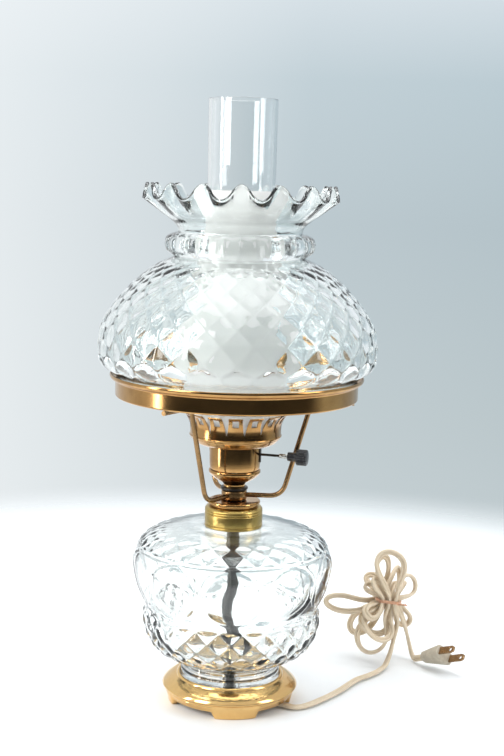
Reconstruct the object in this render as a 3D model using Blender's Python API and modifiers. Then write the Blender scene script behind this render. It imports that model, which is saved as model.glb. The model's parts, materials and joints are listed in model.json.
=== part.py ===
# Electrified parlour ("hurricane") table lamp: cast brass base, pressed glass font,
# socket with a turn switch, three arm shade ring, quilted glass shade, glass chimney,
# and a twin flex tied up in a bundle with its two blade plug.
# Metres, +Z up, the origin on the table under the lamp's axis.
import math

import bmesh
import bpy
import numpy as np
from mathutils import Matrix, Vector

MM = 0.001

# Clearance between two pieces that touch, and how finely round pieces are cut
FIT = 0.3 * MM
ROUND_STEPS = 30
MIDDLE_STEPS = 20
SMALL_STEPS = 16

# Base casting
BASE_FOOT_RADIUS = 47.5 * MM
BASE_RIDGE_RADIUS = 52.0 * MM
BASE_RIDGE_HEIGHT = 12.5 * MM
BASE_HEIGHT = 21.2 * MM
BASE_WALL = 2.4 * MM
BASE_RIM_WIDTH = 1.4 * MM
BASE_SEAT_DEPTH = 3.7 * MM
FOOT_COUNT = 4
FOOT_FIRST_ANGLE = math.radians(6.0)
FOOT_GAP_WIDTH = 42.0 * MM
FOOT_GAP_HEIGHT = 5.0 * MM
FOOT_GAP_CHAMFER = 2.5 * MM

# Glass font
FONT_FOOT_RADIUS = 38.0 * MM
FONT_LOWER_RADIUS = 66.6 * MM
FONT_WAIST_RADIUS = 65.6 * MM
FONT_RADIUS = 75.4 * MM
FONT_BODY_HEIGHT = 118.4 * MM
FONT_WALL = 4.0 * MM
FONT_MOUTH_RADIUS = 20.0 * MM
FONT_MOUTH_HEIGHT = 14.2 * MM
FONT_MOUTH_WALL = 3.2 * MM

# Centre pipe and what is threaded on it
PIPE_RADIUS = 5.0 * MM
PIPE_WALL = 1.3 * MM
PIPE_TAIL = 2.6 * MM
NUT_WIDTH = 15.0 * MM
NUT_HEIGHT = 3.2 * MM
WASHER_RADIUS = 11.0 * MM
WASHER_HEIGHT = 1.2 * MM

# Ribbed collar, plug disc and arm hub
COLLAR_RADIUS = 22.0 * MM
COLLAR_TOP = 1.8 * MM
COLLAR_GROOVE = 0.6 * MM
COLLAR_ROUNDING = 3.4 * MM
DISC_RADIUS = 20.0 * MM
DISC_STEP = 1.3 * MM
DISC_HEIGHT = 2.7 * MM
HUB_RADIUS = 9.7 * MM
HUB_HEIGHT = 7.2 * MM
NECK_NUT_RADIUS = 10.4 * MM
NECK_NUT_HEIGHT = 2.4 * MM
SET_SCREW_RADIUS = 0.7 * MM
SET_SCREW_LENGTH = 4.4 * MM
SET_SCREW_ANGLE = math.radians(-10.0)

# Socket
CAP_NECK_RADIUS = 8.2 * MM
CAP_NECK_HEIGHT = 2.2 * MM
CAP_FLARE_HEIGHT = 7.6 * MM
CAP_BEAD_HEIGHT = 3.4 * MM
CAP_BEAD_RADIUS = 19.7 * MM
SHEET_WALL = 0.8 * MM
SHELL_RADIUS = 19.1 * MM
SHELL_HEIGHT = 38.0 * MM
LINER_WALL = 0.8 * MM
SWITCH_BODY_RADIUS = 16.6 * MM
SWITCH_BODY_HEIGHT = 19.0 * MM
SCREW_SHELL_RADIUS = 13.9 * MM
SCREW_SHELL_HEIGHT = 20.0 * MM
SCREW_SHELL_WALL = 0.5 * MM
CONTACT_RADIUS = 3.6 * MM
CONTACT_HEIGHT = 1.6 * MM
TERMINAL_RADIUS = 3.4 * MM
TERMINAL_HEIGHT = 2.0 * MM

# Turn switch: its stem, ferrule and knob lie along one line out of the socket
SWITCH_ANGLE = math.radians(-15.0)
SWITCH_RISE = 12.0 * MM
STEM_RADIUS = 0.95 * MM
STEM_INNER = 8.0 * MM
STEM_OUTER = 36.6 * MM
FERRULE_RADIUS = 1.7 * MM
FERRULE_START = 34.6 * MM
FERRULE_END = 40.7 * MM
KNOB_NECK_RADIUS = 3.4 * MM
KNOB_HEAD_RADIUS = 6.0 * MM
KNOB_HEAD_START = 47.7 * MM
KNOB_END = 56.0 * MM
KNOB_FLUTES = 8
CLIP_WIDTH = 3.6 * MM
CLIP_HEIGHT = 12.0 * MM
CLIP_THICKNESS = 0.8 * MM

# Chimney gallery
GALLERY_RISE = 19.6 * MM
GALLERY_PLAY = 0.85 * MM
GALLERY_FLOOR_RADIUS = 28.0 * MM
GALLERY_SEAT_HEIGHT = 4.0 * MM
GALLERY_BEAD_HEIGHT = 6.2 * MM
GALLERY_WALL = 0.8 * MM
CROWN_HEIGHT = 18.2 * MM
CROWN_FLARE = 7.0 * MM
TAB_COUNT = 16
TAB_HEIGHT = 13.0 * MM
TAB_NOTCH_TOP = 5.6 * MM
TAB_NOTCH_BOTTOM = 0.8 * MM
TAB_WINDOW_WIDTH = 4.8 * MM
TAB_WINDOW_HEIGHT = 5.6 * MM
TAB_WINDOW_DROP = 1.5 * MM
TAB_START = math.radians(-90.0)

# Shade arms and ring
ARM_COUNT = 3
ARM_FIRST_ANGLE = math.radians(-5.0)
ARM_RADIUS = 1.85 * MM
ARM_CORNER_RADIUS = 36.3 * MM
ARM_TILT = math.radians(15.7)
ARM_BEND_RADIUS = 13.0 * MM
ARM_TOP_BEND_RADIUS = 6.0 * MM
ARM_INSET = 3.0 * MM
ARM_RISE = 75.3 * MM
RING_BAND_RADIUS = 91.0 * MM
RING_BAND_HEIGHT = 12.4 * MM
RING_LIP_RADIUS = 95.0 * MM
RING_LIP_HEIGHT = 4.4 * MM
RING_WALL = 0.8 * MM
RING_FLANGE = 5.2 * MM

# Glass shade
SHADE_FITTER_RADIUS = 88.9 * MM
SHADE_RADIUS = 104.0 * MM
SHADE_WALL = 3.4 * MM
SHADE_SHOULDER_HEIGHT = 104.5 * MM
SHADE_LIP_GAP = 0.75 * MM
SHADE_LIP_CLEARANCE = 1.35 * MM
SHADE_LIP_TURN = 2.65 * MM
SHADE_NECK_RADIUS = 48.2 * MM
SHADE_BEAD_RADIUS = 55.5 * MM
SHADE_BEAD_HEIGHT = 14.0 * MM
SHADE_UPPER_NECK_RADIUS = 45.6 * MM
SHADE_FLARE_HEIGHT = 26.5 * MM
SHADE_FLARE_RADIUS = 71.5 * MM
RUFFLE_COUNT = 16
RUFFLE_RISE = 6.0 * MM

# Chimney
CHIMNEY_FITTER_RADIUS = 33.35 * MM
CHIMNEY_BULGE_RADIUS = 40.4 * MM
CHIMNEY_TOP_RADIUS = 25.5 * MM
CHIMNEY_HEIGHT = 250.6 * MM
CHIMNEY_WALL = 2.2 * MM

# Bulb
BULB_CAP_RADIUS = 12.9 * MM
BULB_CAP_HEIGHT = 24.0 * MM
BULB_RADIUS = 24.0 * MM
BULB_GLASS_HEIGHT = 62.0 * MM
BULB_INSET = 4.4 * MM
BULB_WALL = 0.9 * MM
BULB_TIP_RADIUS = 4.6 * MM
BULB_TIP_HEIGHT = 2.2 * MM

# Flex and plug
CORD_WIDTH = 5.4 * MM
CORD_THICKNESS = 2.8 * MM
CORD_EXIT_ANGLE = math.radians(-27.0)
CORD_EXIT_RADIUS = 50.0 * MM
CORD_FLOOR_BEND = 6.8 * MM
PLUG_LENGTH = 24.0 * MM
PLUG_WIDTH = 20.0 * MM
PLUG_THICKNESS = 12.0 * MM
PLUG_TAIL_WIDTH = 9.0 * MM
BLADE_SPACING = 12.7 * MM
BLADE_LENGTH = 15.9 * MM
BLADE_WIDTH = 6.35 * MM
BLADE_THICKNESS = 1.5 * MM
BLADE_HOLE_RADIUS = 1.6 * MM
BLADE_HOLE_FROM_TIP = 3.9 * MM
BLADE_ROOT = 4.0 * MM

# Where the plug lies, and the route of the flex on the table and down to the plug, in
# millimetres. The flex is straight for a tube's width on both sides of each joint in it.
PLUG_FACE = (176.0, 62.5, 15.5)
PLUG_HEADING = math.radians(-48.0)
PLUG_RISE = math.radians(21.0)
PLUG_ROLL = math.radians(-43.0)
LEAD_ROUTE = [
    (54.0, -24.4), (61.9, -18.6), (70.0, -9.7), (78.3, 0.2), (87.0, 12.3), (95.4, 26.0),
    (102.5, 36.8), (112.5, 46.5), (119.6, 54.6)]
LEAD_END = (124.0, 61.8)
LEAD_END_HEADING = math.radians(60.0)
RISE_ROUTE = [(130.6, 74.5, 4.4), (134.2, 80.5, 13.0), (136.5, 84.0, 27.0)]
FALL_ROUTE = [(142.4, 90.5, 40.5)]
FALL_END = (147.0, 92.5, 27.0)
FALL_END_WAY = (0.27, 0.08, -0.96)
TAIL_ROUTE = [(150.9, 93.4, 12.6), (152.5, 92.2, 6.6), (154.0, 89.0, 3.4)]

# The tied bundle: its strands pass the tie in rows, and a bight joins each strand to the next
TIE_CENTRE = (131.0, 92.0, 53.0)
TIE_LEAN = math.radians(6.0)
TIE_RADIUS = 0.7 * MM
STRAND_STEP = 5.1 * MM
STRAND_HALF = 3.0 * MM
STRAND_GAP = 1.25 * MM
BIGHT_ROOT = 0.67
SIDE_BIGHT_ROOT = 2.0
BIGHT_STEPS = 14
TIE_STEPS = 24

# Sizes and heights that follow from how the pieces stack
CORD_RADIUS = (CORD_WIDTH + CORD_THICKNESS) / 4
COLLAR_HEIGHT = FONT_MOUTH_HEIGHT + COLLAR_TOP
BORE_RADIUS = PIPE_RADIUS + FIT
GALLERY_BEAD_RADIUS = CHIMNEY_FITTER_RADIUS + GALLERY_PLAY + GALLERY_WALL
CAP_HEIGHT = CAP_NECK_HEIGHT + CAP_FLARE_HEIGHT + CAP_BEAD_HEIGHT

SEAT_Z = BASE_HEIGHT - BASE_SEAT_DEPTH
SEAT_UNDERSIDE_Z = SEAT_Z - BASE_WALL
WASHER_Z = SEAT_UNDERSIDE_Z - FIT - WASHER_HEIGHT
NUT_Z = WASHER_Z - FIT - NUT_HEIGHT
PIPE_Z = NUT_Z - PIPE_TAIL
FONT_Z = SEAT_Z + FIT
FONT_SHOULDER_Z = FONT_Z + FONT_BODY_HEIGHT
COLLAR_Z = FONT_SHOULDER_Z + FIT
DISC_Z = COLLAR_Z + COLLAR_HEIGHT + FIT
HUB_Z = DISC_Z + DISC_STEP + DISC_HEIGHT + FIT
HUB_MID_Z = HUB_Z + HUB_HEIGHT / 2
NECK_NUT_Z = HUB_Z + HUB_HEIGHT + FIT
CAP_Z = NECK_NUT_Z + NECK_NUT_HEIGHT + FIT
SHELL_Z = CAP_Z + CAP_HEIGHT + FIT
SWITCH_Z = SHELL_Z + SWITCH_RISE
SWITCH_BODY_Z = SHELL_Z
SCREW_SHELL_Z = SWITCH_BODY_Z + SWITCH_BODY_HEIGHT + FIT
PIPE_TOP_Z = CAP_Z + CAP_NECK_HEIGHT
BULB_TIP_Z = SCREW_SHELL_Z + CONTACT_HEIGHT + FIT
BULB_Z = BULB_TIP_Z + BULB_TIP_HEIGHT / 2
GALLERY_Z = SHELL_Z + GALLERY_RISE
CHIMNEY_Z = GALLERY_Z + GALLERY_SEAT_HEIGHT + FIT
RING_Z = HUB_MID_Z + ARM_RISE
SHADE_Z = RING_Z + RING_WALL + FIT


def clear_scene():
    for obj in list(bpy.data.objects):
        bpy.data.objects.remove(obj, do_unlink=True)


def collection(name):
    group = bpy.data.collections.new(name)
    bpy.context.scene.collection.children.link(group)
    return group


def finish(name, colour, roughness, metallic, transmission=0.0):
    material = bpy.data.materials.new(name)
    material.use_nodes = True
    shader = material.node_tree.nodes["Principled BSDF"]
    shader.inputs["Base Color"].default_value = (*colour, 1.0)
    shader.inputs["Roughness"].default_value = roughness
    shader.inputs["Metallic"].default_value = metallic
    shader.inputs["Transmission Weight"].default_value = transmission
    material.diffuse_color = (*colour, 1.0)
    return material


def add_object(name, mesh, material, location=(0, 0, 0)):
    obj = bpy.data.objects.new(name, mesh)
    obj.location = location
    mesh.materials.append(material)
    PARTS.objects.link(obj)
    return obj


def turned(name, profile, material, height=0.0, steps=ROUND_STEPS, closed=True):
    """A turned solid: the profile of (radius, height) runs down its outer side."""
    count = len(profile)
    edges = [(i, i + 1) for i in range(count - 1)]
    if closed:
        edges.append((count - 1, 0))
    mesh = bpy.data.meshes.new(name)
    mesh.from_pydata([(radius, 0.0, z) for radius, z in profile], edges, [])
    obj = add_object(name, mesh, material, (0, 0, height))
    screw = obj.modifiers.new("Turn", "SCREW")
    screw.steps = steps
    screw.render_steps = steps
    screw.use_merge_vertices = True
    screw.merge_threshold = 0.00001
    screw.use_normal_calculate = True
    screw.use_smooth_shade = True
    return obj


def baked(obj):
    """Replaces the object's modifiers with the mesh that they make."""
    bpy.context.view_layer.update()
    evaluated = obj.evaluated_get(bpy.context.evaluated_depsgraph_get())
    mesh = bpy.data.meshes.new_from_object(evaluated)
    material = obj.data.materials[0]
    obj.modifiers.clear()
    if obj.type == "CURVE":
        name, world = obj.name, obj.matrix_world.copy()
        bpy.data.objects.remove(obj)
        obj = bpy.data.objects.new(name, mesh)
        PARTS.objects.link(obj)
        obj.matrix_world = world
    else:
        obj.data = mesh
    weld(mesh)
    mesh.materials.clear()
    mesh.materials.append(material)
    mesh.shade_smooth()
    mesh.set_sharp_from_angle(angle=math.radians(35))
    return obj


def weld(mesh):
    shape = bmesh.new()
    shape.from_mesh(mesh)
    bmesh.ops.remove_doubles(shape, verts=shape.verts, dist=0.000005)
    bmesh.ops.recalc_face_normals(shape, faces=shape.faces)
    shape.to_mesh(mesh)
    shape.free()


def rod(name, points, radius, material, resolution=2, cyclic=False):
    """A round rod or cord along the points, with its ends closed."""
    curve = bpy.data.curves.new(name, "CURVE")
    curve.dimensions = "3D"
    curve.bevel_depth = radius
    curve.bevel_resolution = resolution
    curve.use_fill_caps = not cyclic
    spline = curve.splines.new("POLY")
    spline.points.add(len(points) - 1)
    for slot, point in zip(spline.points, points):
        slot.co = (*point, 1.0)
        slot.radius = 1.0
    spline.use_cyclic_u = cyclic
    spline.use_smooth = True
    obj = bpy.data.objects.new(name, curve)
    curve.materials.append(material)
    PARTS.objects.link(obj)
    return obj


def cutter(name, build):
    """A guide solid for a Boolean; build fills a bmesh."""
    shape = bmesh.new()
    build(shape)
    mesh = bpy.data.meshes.new(name)
    shape.to_mesh(mesh)
    shape.free()
    obj = bpy.data.objects.new(name, mesh)
    obj.hide_render = True
    obj.display_type = "WIRE"
    CUTTERS.objects.link(obj)
    return obj


def cut(obj, tool):
    boolean = obj.modifiers.new("Cut", "BOOLEAN")
    boolean.operation = "DIFFERENCE"
    boolean.solver = "EXACT"
    boolean.object = tool


def cylinder(shape, radius, start, end, matrix=Matrix(), segments=12):
    """Adds a cylinder along Z from start to end, moved by the matrix."""
    middle = Matrix.Translation((0, 0, (start + end) / 2))
    bmesh.ops.create_cone(shape, cap_ends=True, segments=segments, radius1=radius, radius2=radius,
                          depth=end - start, matrix=matrix @ middle)


def box(shape, low, high, matrix=Matrix()):
    """Adds a box between two corners and gives its corner vertices."""
    low, high = Vector(low), Vector(high)
    place = Matrix.Translation((low + high) / 2) @ Matrix.Diagonal((*(high - low), 1.0))
    return bmesh.ops.create_cube(shape, size=1.0, matrix=matrix @ place)["verts"]


def outward(angle, height=0.0):
    """Turns Z to point out from the lamp's axis at an angle round it."""
    turn = Matrix.Rotation(angle, 4, "Z") @ Matrix.Rotation(math.pi / 2, 4, "Y")
    return Matrix.Translation((0, 0, height)) @ turn


def smooth_line(points, per_span):
    """Points on a smooth curve through the given ones (centripetal Catmull-Rom)."""
    known = np.array(points, dtype=float)
    ends = np.vstack([2 * known[0] - known[1], known, 2 * known[-1] - known[-2]])
    line = []
    for before, start, stop, after in zip(ends, ends[1:], ends[2:], ends[3:]):
        first = math.sqrt(np.linalg.norm(start - before))
        span = math.sqrt(np.linalg.norm(stop - start))
        last = math.sqrt(np.linalg.norm(after - stop))
        leave = ((start - before) / first - (stop - before) / (first + span)
                 + (stop - start) / span) * span
        arrive = ((stop - start) / span - (after - start) / (span + last)
                  + (after - stop) / last) * span
        for t in np.arange(per_span) / per_span:
            line.append((2 * t ** 3 - 3 * t ** 2 + 1) * start + (t ** 3 - 2 * t ** 2 + t) * leave
                        + (3 * t ** 2 - 2 * t ** 3) * stop + (t ** 3 - t ** 2) * arrive)
    line.append(known[-1])
    return np.array(line)


def at_lengths(points, steps, count):
    """The same line with its points at equal sums of the steps given for its edges."""
    along = np.concatenate([[0.0], np.cumsum(steps)])
    wanted = np.linspace(0.0, along[-1], count)
    return np.stack([np.interp(wanted, along, points[:, k]) for k in range(points.shape[1])], axis=1)


def evenly(points, count):
    return at_lengths(points, np.linalg.norm(np.diff(points, axis=0), axis=1), count)


def length_of(points):
    return float(np.linalg.norm(np.diff(points, axis=0), axis=1).sum())


def inside_of(outline, wall):
    """An outline that runs down the outer side, moved in by the wall."""
    line = np.array(outline, dtype=float)
    slope = np.gradient(line, axis=0)
    slope /= np.linalg.norm(slope, axis=1)[:, None]
    return line + wall * np.stack([slope[:, 1], -slope[:, 0]], axis=1)


def filleted(corners, radii, steps=4):
    """A line with its inner corners rounded, in the plane of (radius, height)."""
    line = [corners[0]]
    for before, corner, after, radius in zip(corners, corners[1:], corners[2:], radii):
        arriving = (Vector(corner) - Vector(before)).normalized()
        leaving = (Vector(after) - Vector(corner)).normalized()
        turn = arriving.angle(leaving)
        side = leaving - arriving * arriving.dot(leaving)
        side.normalize()
        start = Vector(corner) - arriving * radius * math.tan(turn / 2)
        for k in range(steps + 1):
            angle = turn * k / steps
            line.append(start + arriving * radius * math.sin(angle)
                        + side * radius * (1 - math.cos(angle)))
    line.append(corners[-1])
    return [tuple(point) for point in line]


def in_plane(profile, angle):
    """Takes (radius, height) points to space at an angle round the axis."""
    return [(r * math.cos(angle), r * math.sin(angle), z) for r, z in profile]


def make_base():
    seat_radius = FONT_FOOT_RADIUS + 2 * FIT
    rim_radius = seat_radius + BASE_RIM_WIDTH
    ridge = BASE_RIDGE_HEIGHT
    slope = BASE_HEIGHT - ridge
    outer = [
        (rim_radius, BASE_HEIGHT),
        (rim_radius + 0.22 * (BASE_RIDGE_RADIUS - rim_radius), ridge + 0.80 * slope),
        (rim_radius + 0.70 * (BASE_RIDGE_RADIUS - rim_radius), ridge + 0.38 * slope),
        (BASE_RIDGE_RADIUS - 0.5 * MM, ridge + 1.0 * MM),
        (BASE_RIDGE_RADIUS, ridge),
        (BASE_RIDGE_RADIUS - 0.6 * MM, ridge - 1.2 * MM),
        (BASE_FOOT_RADIUS + 1.2 * MM, 0.55 * ridge),
        (BASE_FOOT_RADIUS + 0.3 * MM, 0.25 * ridge),
        (BASE_FOOT_RADIUS, 0.0)]
    inner_radius = BASE_FOOT_RADIUS - 1.6 * BASE_WALL
    profile = outer + [
        (inner_radius, 0.0),
        (inner_radius, ridge - BASE_WALL),
        (seat_radius - BASE_WALL, SEAT_UNDERSIDE_Z),
        (BORE_RADIUS, SEAT_UNDERSIDE_Z),
        (BORE_RADIUS, SEAT_Z),
        (seat_radius, SEAT_Z),
        (seat_radius, BASE_HEIGHT)]
    base = turned("base_casting", profile, POLISHED_BRASS)

    def gaps(shape):
        for k in range(FOOT_COUNT):
            angle = FOOT_FIRST_ANGLE + (k + 0.5) * 2 * math.pi / FOOT_COUNT
            turn = Matrix.Rotation(angle, 4, "Z")
            corners = box(shape, (0.6 * BASE_FOOT_RADIUS, -FOOT_GAP_WIDTH / 2, -FOOT_GAP_HEIGHT),
                          (BASE_RIDGE_RADIUS + BASE_WALL, FOOT_GAP_WIDTH / 2, FOOT_GAP_HEIGHT))
            for corner in corners:
                if corner.co.z > 0:
                    corner.co.y -= math.copysign(FOOT_GAP_CHAMFER, corner.co.y)
                corner.co = turn @ corner.co

    cut(base, cutter("foot_gaps", gaps))
    baked(base)

    baked(turned("base_washer", ring_profile(BORE_RADIUS, WASHER_RADIUS, WASHER_HEIGHT), STEEL,
                 WASHER_Z, SMALL_STEPS))
    make_nut("base_lock_nut", NUT_Z)
    baked(turned("centre_pipe", ring_profile(PIPE_RADIUS - PIPE_WALL, PIPE_RADIUS, PIPE_TOP_Z - PIPE_Z),
                 STEEL, PIPE_Z, SMALL_STEPS))


def ring_profile(inner, outer, height):
    return [(outer, height), (outer, 0.0), (inner, 0.0), (inner, height)]


def make_nut(name, height):
    shape = bmesh.new()
    cylinder(shape, NUT_WIDTH / 2 / math.cos(math.pi / 6), 0.0, NUT_HEIGHT, segments=6)
    mesh = bpy.data.meshes.new(name)
    shape.to_mesh(mesh)
    shape.free()
    nut = add_object(name, mesh, STEEL, (0, 0, height))
    cut(nut, cutter("nut_bore", lambda hole: cylinder(
        hole, BORE_RADIUS, height - NUT_HEIGHT, height + 2 * NUT_HEIGHT)))
    baked(nut)


def font_outline():
    """The font's outer side from its mouth down to its foot."""
    wide, tall = FONT_RADIUS, FONT_BODY_HEIGHT
    lower, waist, foot = FONT_LOWER_RADIUS, FONT_WAIST_RADIUS, FONT_FOOT_RADIUS
    mouth = [(FONT_MOUTH_RADIUS, tall + FONT_MOUTH_HEIGHT), (FONT_MOUTH_RADIUS, tall)]
    body = [
        (COLLAR_RADIUS + 1.0 * MM, tall), (0.46 * wide, 0.995 * tall), (0.68 * wide, 0.978 * tall),
        (0.84 * wide, 0.944 * tall),
        (0.95 * wide, 0.885 * tall), (wide, 0.800 * tall), (0.992 * wide, 0.700 * tall),
        (0.955 * wide, 0.600 * tall), (waist, 0.483 * tall), (lower, 0.425 * tall),
        (0.975 * lower, 0.320 * tall), (0.88 * lower, 0.225 * tall), (0.64 * lower, 0.145 * tall)]
    stem = [(foot - 1.2 * MM, 0.115 * tall), (foot - 0.3 * MM, 0.095 * tall),
            (foot - 1.2 * MM, 0.072 * tall), (foot, 0.058 * tall), (foot, 0.0)]
    return mouth + body + stem


def make_font():
    outline = font_outline()
    hollow = [tuple(point) for point in inside_of(outline[2:-5], FONT_WALL)]
    floor = 0.115 * FONT_BODY_HEIGHT
    mouth_bore = FONT_MOUTH_RADIUS - FONT_MOUTH_WALL
    inner = [(BORE_RADIUS, 0.0), (BORE_RADIUS, floor), (0.80 * FONT_FOOT_RADIUS, floor)]
    inner += list(reversed(hollow[2:-1:2]))
    inner += [(mouth_bore, FONT_BODY_HEIGHT - 0.8 * FONT_WALL),
              (mouth_bore, FONT_BODY_HEIGHT + FONT_MOUTH_HEIGHT)]
    font = turned("font_glass", outline + inner, CLEAR_GLASS, FONT_Z)
    baked(font)


def make_collar():
    height, radius, groove = COLLAR_HEIGHT, COLLAR_RADIUS, COLLAR_GROOVE
    bore = FONT_MOUTH_RADIUS + FIT
    outer = [(radius - COLLAR_ROUNDING * inward, height - COLLAR_ROUNDING * down)
             for inward, down in ((1.0, 0.0), (0.35, 0.24), (0.06, 0.65))]
    for level in (0.80 * height, 0.68 * height, 0.12 * height):
        outer += [(radius, level + groove), (radius - groove, level), (radius, level - groove)]
    profile = outer + [(radius, 0.0), (bore, 0.0), (bore, height - COLLAR_TOP),
                       (BORE_RADIUS, height - COLLAR_TOP), (BORE_RADIUS, height)]
    baked(turned("font_collar", profile, AGED_BRASS, COLLAR_Z, MIDDLE_STEPS))

    top = DISC_STEP + DISC_HEIGHT
    disc = [(DISC_RADIUS - 0.8 * MM, top), (DISC_RADIUS, top - 0.8 * MM), (DISC_RADIUS, DISC_STEP),
            (DISC_RADIUS - 1.8 * MM, DISC_STEP), (DISC_RADIUS - 1.8 * MM, 0.0),
            (BORE_RADIUS, 0.0), (BORE_RADIUS, top)]
    baked(turned("collar_disc", disc, AGED_BRASS, DISC_Z, MIDDLE_STEPS))


def make_arms():
    run_z = RING_Z - FIT - ARM_RADIUS
    climb = run_z - HUB_MID_Z
    end_radius = RING_BAND_RADIUS - 2.5 * MM
    corners = [(HUB_RADIUS - ARM_INSET, HUB_MID_Z), (ARM_CORNER_RADIUS, HUB_MID_Z),
               (ARM_CORNER_RADIUS + climb * math.tan(ARM_TILT), run_z), (end_radius, run_z)]
    route = filleted(corners, [ARM_BEND_RADIUS, ARM_TOP_BEND_RADIUS])
    angles = [ARM_FIRST_ANGLE + k * 2 * math.pi / ARM_COUNT for k in range(ARM_COUNT)]
    for name, angle in zip(("shade_arm_right", "shade_arm_rear", "shade_arm_left"), angles):
        baked(rod(name, in_plane(route, angle), ARM_RADIUS, AGED_BRASS))

    hub = turned("arm_hub", ring_profile(BORE_RADIUS, HUB_RADIUS, HUB_HEIGHT), AGED_BRASS, HUB_Z,
                 SMALL_STEPS)

    def sockets(shape):
        for angle in angles:
            cylinder(shape, ARM_RADIUS + FIT, HUB_RADIUS - ARM_INSET - FIT, 2 * HUB_RADIUS,
                     outward(angle, HUB_MID_Z))

    cut(hub, cutter("arm_sockets", sockets))
    baked(hub)


def make_neck_nut():
    nut = turned("neck_nut", ring_profile(BORE_RADIUS, NECK_NUT_RADIUS, NECK_NUT_HEIGHT),
                 DARK_METAL, NECK_NUT_Z, SMALL_STEPS)
    middle = NECK_NUT_Z + NECK_NUT_HEIGHT / 2
    seat = BORE_RADIUS + FIT
    cut(nut, cutter("set_screw_hole", lambda hole: cylinder(
        hole, SET_SCREW_RADIUS + FIT, seat, 2 * NECK_NUT_RADIUS, outward(SET_SCREW_ANGLE, middle))))
    baked(nut)
    screw = turned("neck_set_screw", [(0.0, SET_SCREW_LENGTH), (SET_SCREW_RADIUS, SET_SCREW_LENGTH),
                                      (SET_SCREW_RADIUS, 0.0), (0.0, 0.0)], DARK_METAL,
                   steps=SMALL_STEPS, closed=False)
    screw.matrix_world = outward(SET_SCREW_ANGLE, middle) @ Matrix.Translation((0, 0, seat + FIT))
    baked(screw)


def make_socket():
    neck, bead, top = CAP_NECK_RADIUS, CAP_BEAD_RADIUS, CAP_HEIGHT
    lip = SHELL_RADIUS
    flare_top = CAP_NECK_HEIGHT + CAP_FLARE_HEIGHT
    flare = [(neck + (lip - neck) * across, CAP_NECK_HEIGHT + CAP_FLARE_HEIGHT * up)
             for across, up in ((0.86, 0.72), (0.45, 0.32), (0.0, 0.0))]
    outer = [(lip, top), (bead, top - 0.7 * MM), (bead, flare_top + 0.8 * MM), (lip, flare_top)] + flare
    outer += [(neck, 0.0), (BORE_RADIUS, 0.0), (BORE_RADIUS, CAP_NECK_HEIGHT + SHEET_WALL)]
    inner = [(radius - SHEET_WALL, z + SHEET_WALL) for radius, z in reversed(flare)]
    inner += [(lip - SHEET_WALL, flare_top + SHEET_WALL), (lip - SHEET_WALL, top)]
    baked(turned("socket_cap", outer + inner, AGED_BRASS, CAP_Z, MIDDLE_STEPS))

    stem_hole = cutter("stem_hole", lambda hole: cylinder(
        hole, STEM_RADIUS + FIT, STEM_INNER - FIT, 2 * SHELL_RADIUS, outward(SWITCH_ANGLE, SWITCH_Z)))
    shell = turned("socket_shell", ring_profile(SHELL_RADIUS - SHEET_WALL, SHELL_RADIUS, SHELL_HEIGHT),
                   AGED_BRASS, SHELL_Z, MIDDLE_STEPS)
    cut(shell, stem_hole)
    baked(shell)

    liner_radius = SHELL_RADIUS - SHEET_WALL - FIT
    liner = turned("socket_liner", ring_profile(liner_radius - LINER_WALL, liner_radius,
                                                SHELL_HEIGHT - 1.5 * MM), FIBRE, SHELL_Z, MIDDLE_STEPS)
    cut(liner, stem_hole)
    baked(liner)

    body = turned("switch_body", [(0.0, SWITCH_BODY_HEIGHT), (SWITCH_BODY_RADIUS, SWITCH_BODY_HEIGHT),
                                  (SWITCH_BODY_RADIUS, 0.0), (0.0, 0.0)], BLACK_PLASTIC,
                  SWITCH_BODY_Z, SMALL_STEPS, closed=False)
    cut(body, stem_hole)
    terminal_z = SWITCH_BODY_Z + 0.25 * SWITCH_BODY_HEIGHT
    pocket = SWITCH_BODY_RADIUS - TERMINAL_HEIGHT - 2 * FIT
    terminal_angles = (SWITCH_ANGLE + math.pi / 2, SWITCH_ANGLE - math.pi / 2)

    def pockets(shape):
        for angle in terminal_angles:
            cylinder(shape, TERMINAL_RADIUS + FIT, pocket, 2 * SWITCH_BODY_RADIUS,
                     outward(angle, terminal_z))

    cut(body, cutter("terminal_pockets", pockets))
    baked(body)
    for name, angle, colour in zip(("terminal_screw_live", "terminal_screw_neutral"),
                                   terminal_angles, (BRIGHT_BRASS, STEEL)):
        screw = turned(name, [(0.0, TERMINAL_HEIGHT), (TERMINAL_RADIUS - 0.4 * MM, TERMINAL_HEIGHT),
                              (TERMINAL_RADIUS, 0.6 * TERMINAL_HEIGHT), (TERMINAL_RADIUS, 0.0),
                              (0.0, 0.0)], colour, steps=SMALL_STEPS, closed=False)
        screw.matrix_world = outward(angle, terminal_z) @ Matrix.Translation((0, 0, pocket + FIT))
        baked(screw)

    opening = 0.45 * SCREW_SHELL_RADIUS
    wall, radius, height = SCREW_SHELL_WALL, SCREW_SHELL_RADIUS, SCREW_SHELL_HEIGHT
    baked(turned("screw_shell", [(radius, height), (radius, 0.0), (opening, 0.0), (opening, wall),
                                 (radius - wall, wall), (radius - wall, height)],
                 BRIGHT_BRASS, SCREW_SHELL_Z, SMALL_STEPS))
    baked(turned("centre_contact", [(0.0, CONTACT_HEIGHT), (0.6 * CONTACT_RADIUS, CONTACT_HEIGHT),
                                    (CONTACT_RADIUS, 0.4 * CONTACT_HEIGHT), (CONTACT_RADIUS, 0.0),
                                    (0.0, 0.0)], BRIGHT_BRASS, SCREW_SHELL_Z, SMALL_STEPS, closed=False))


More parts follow.
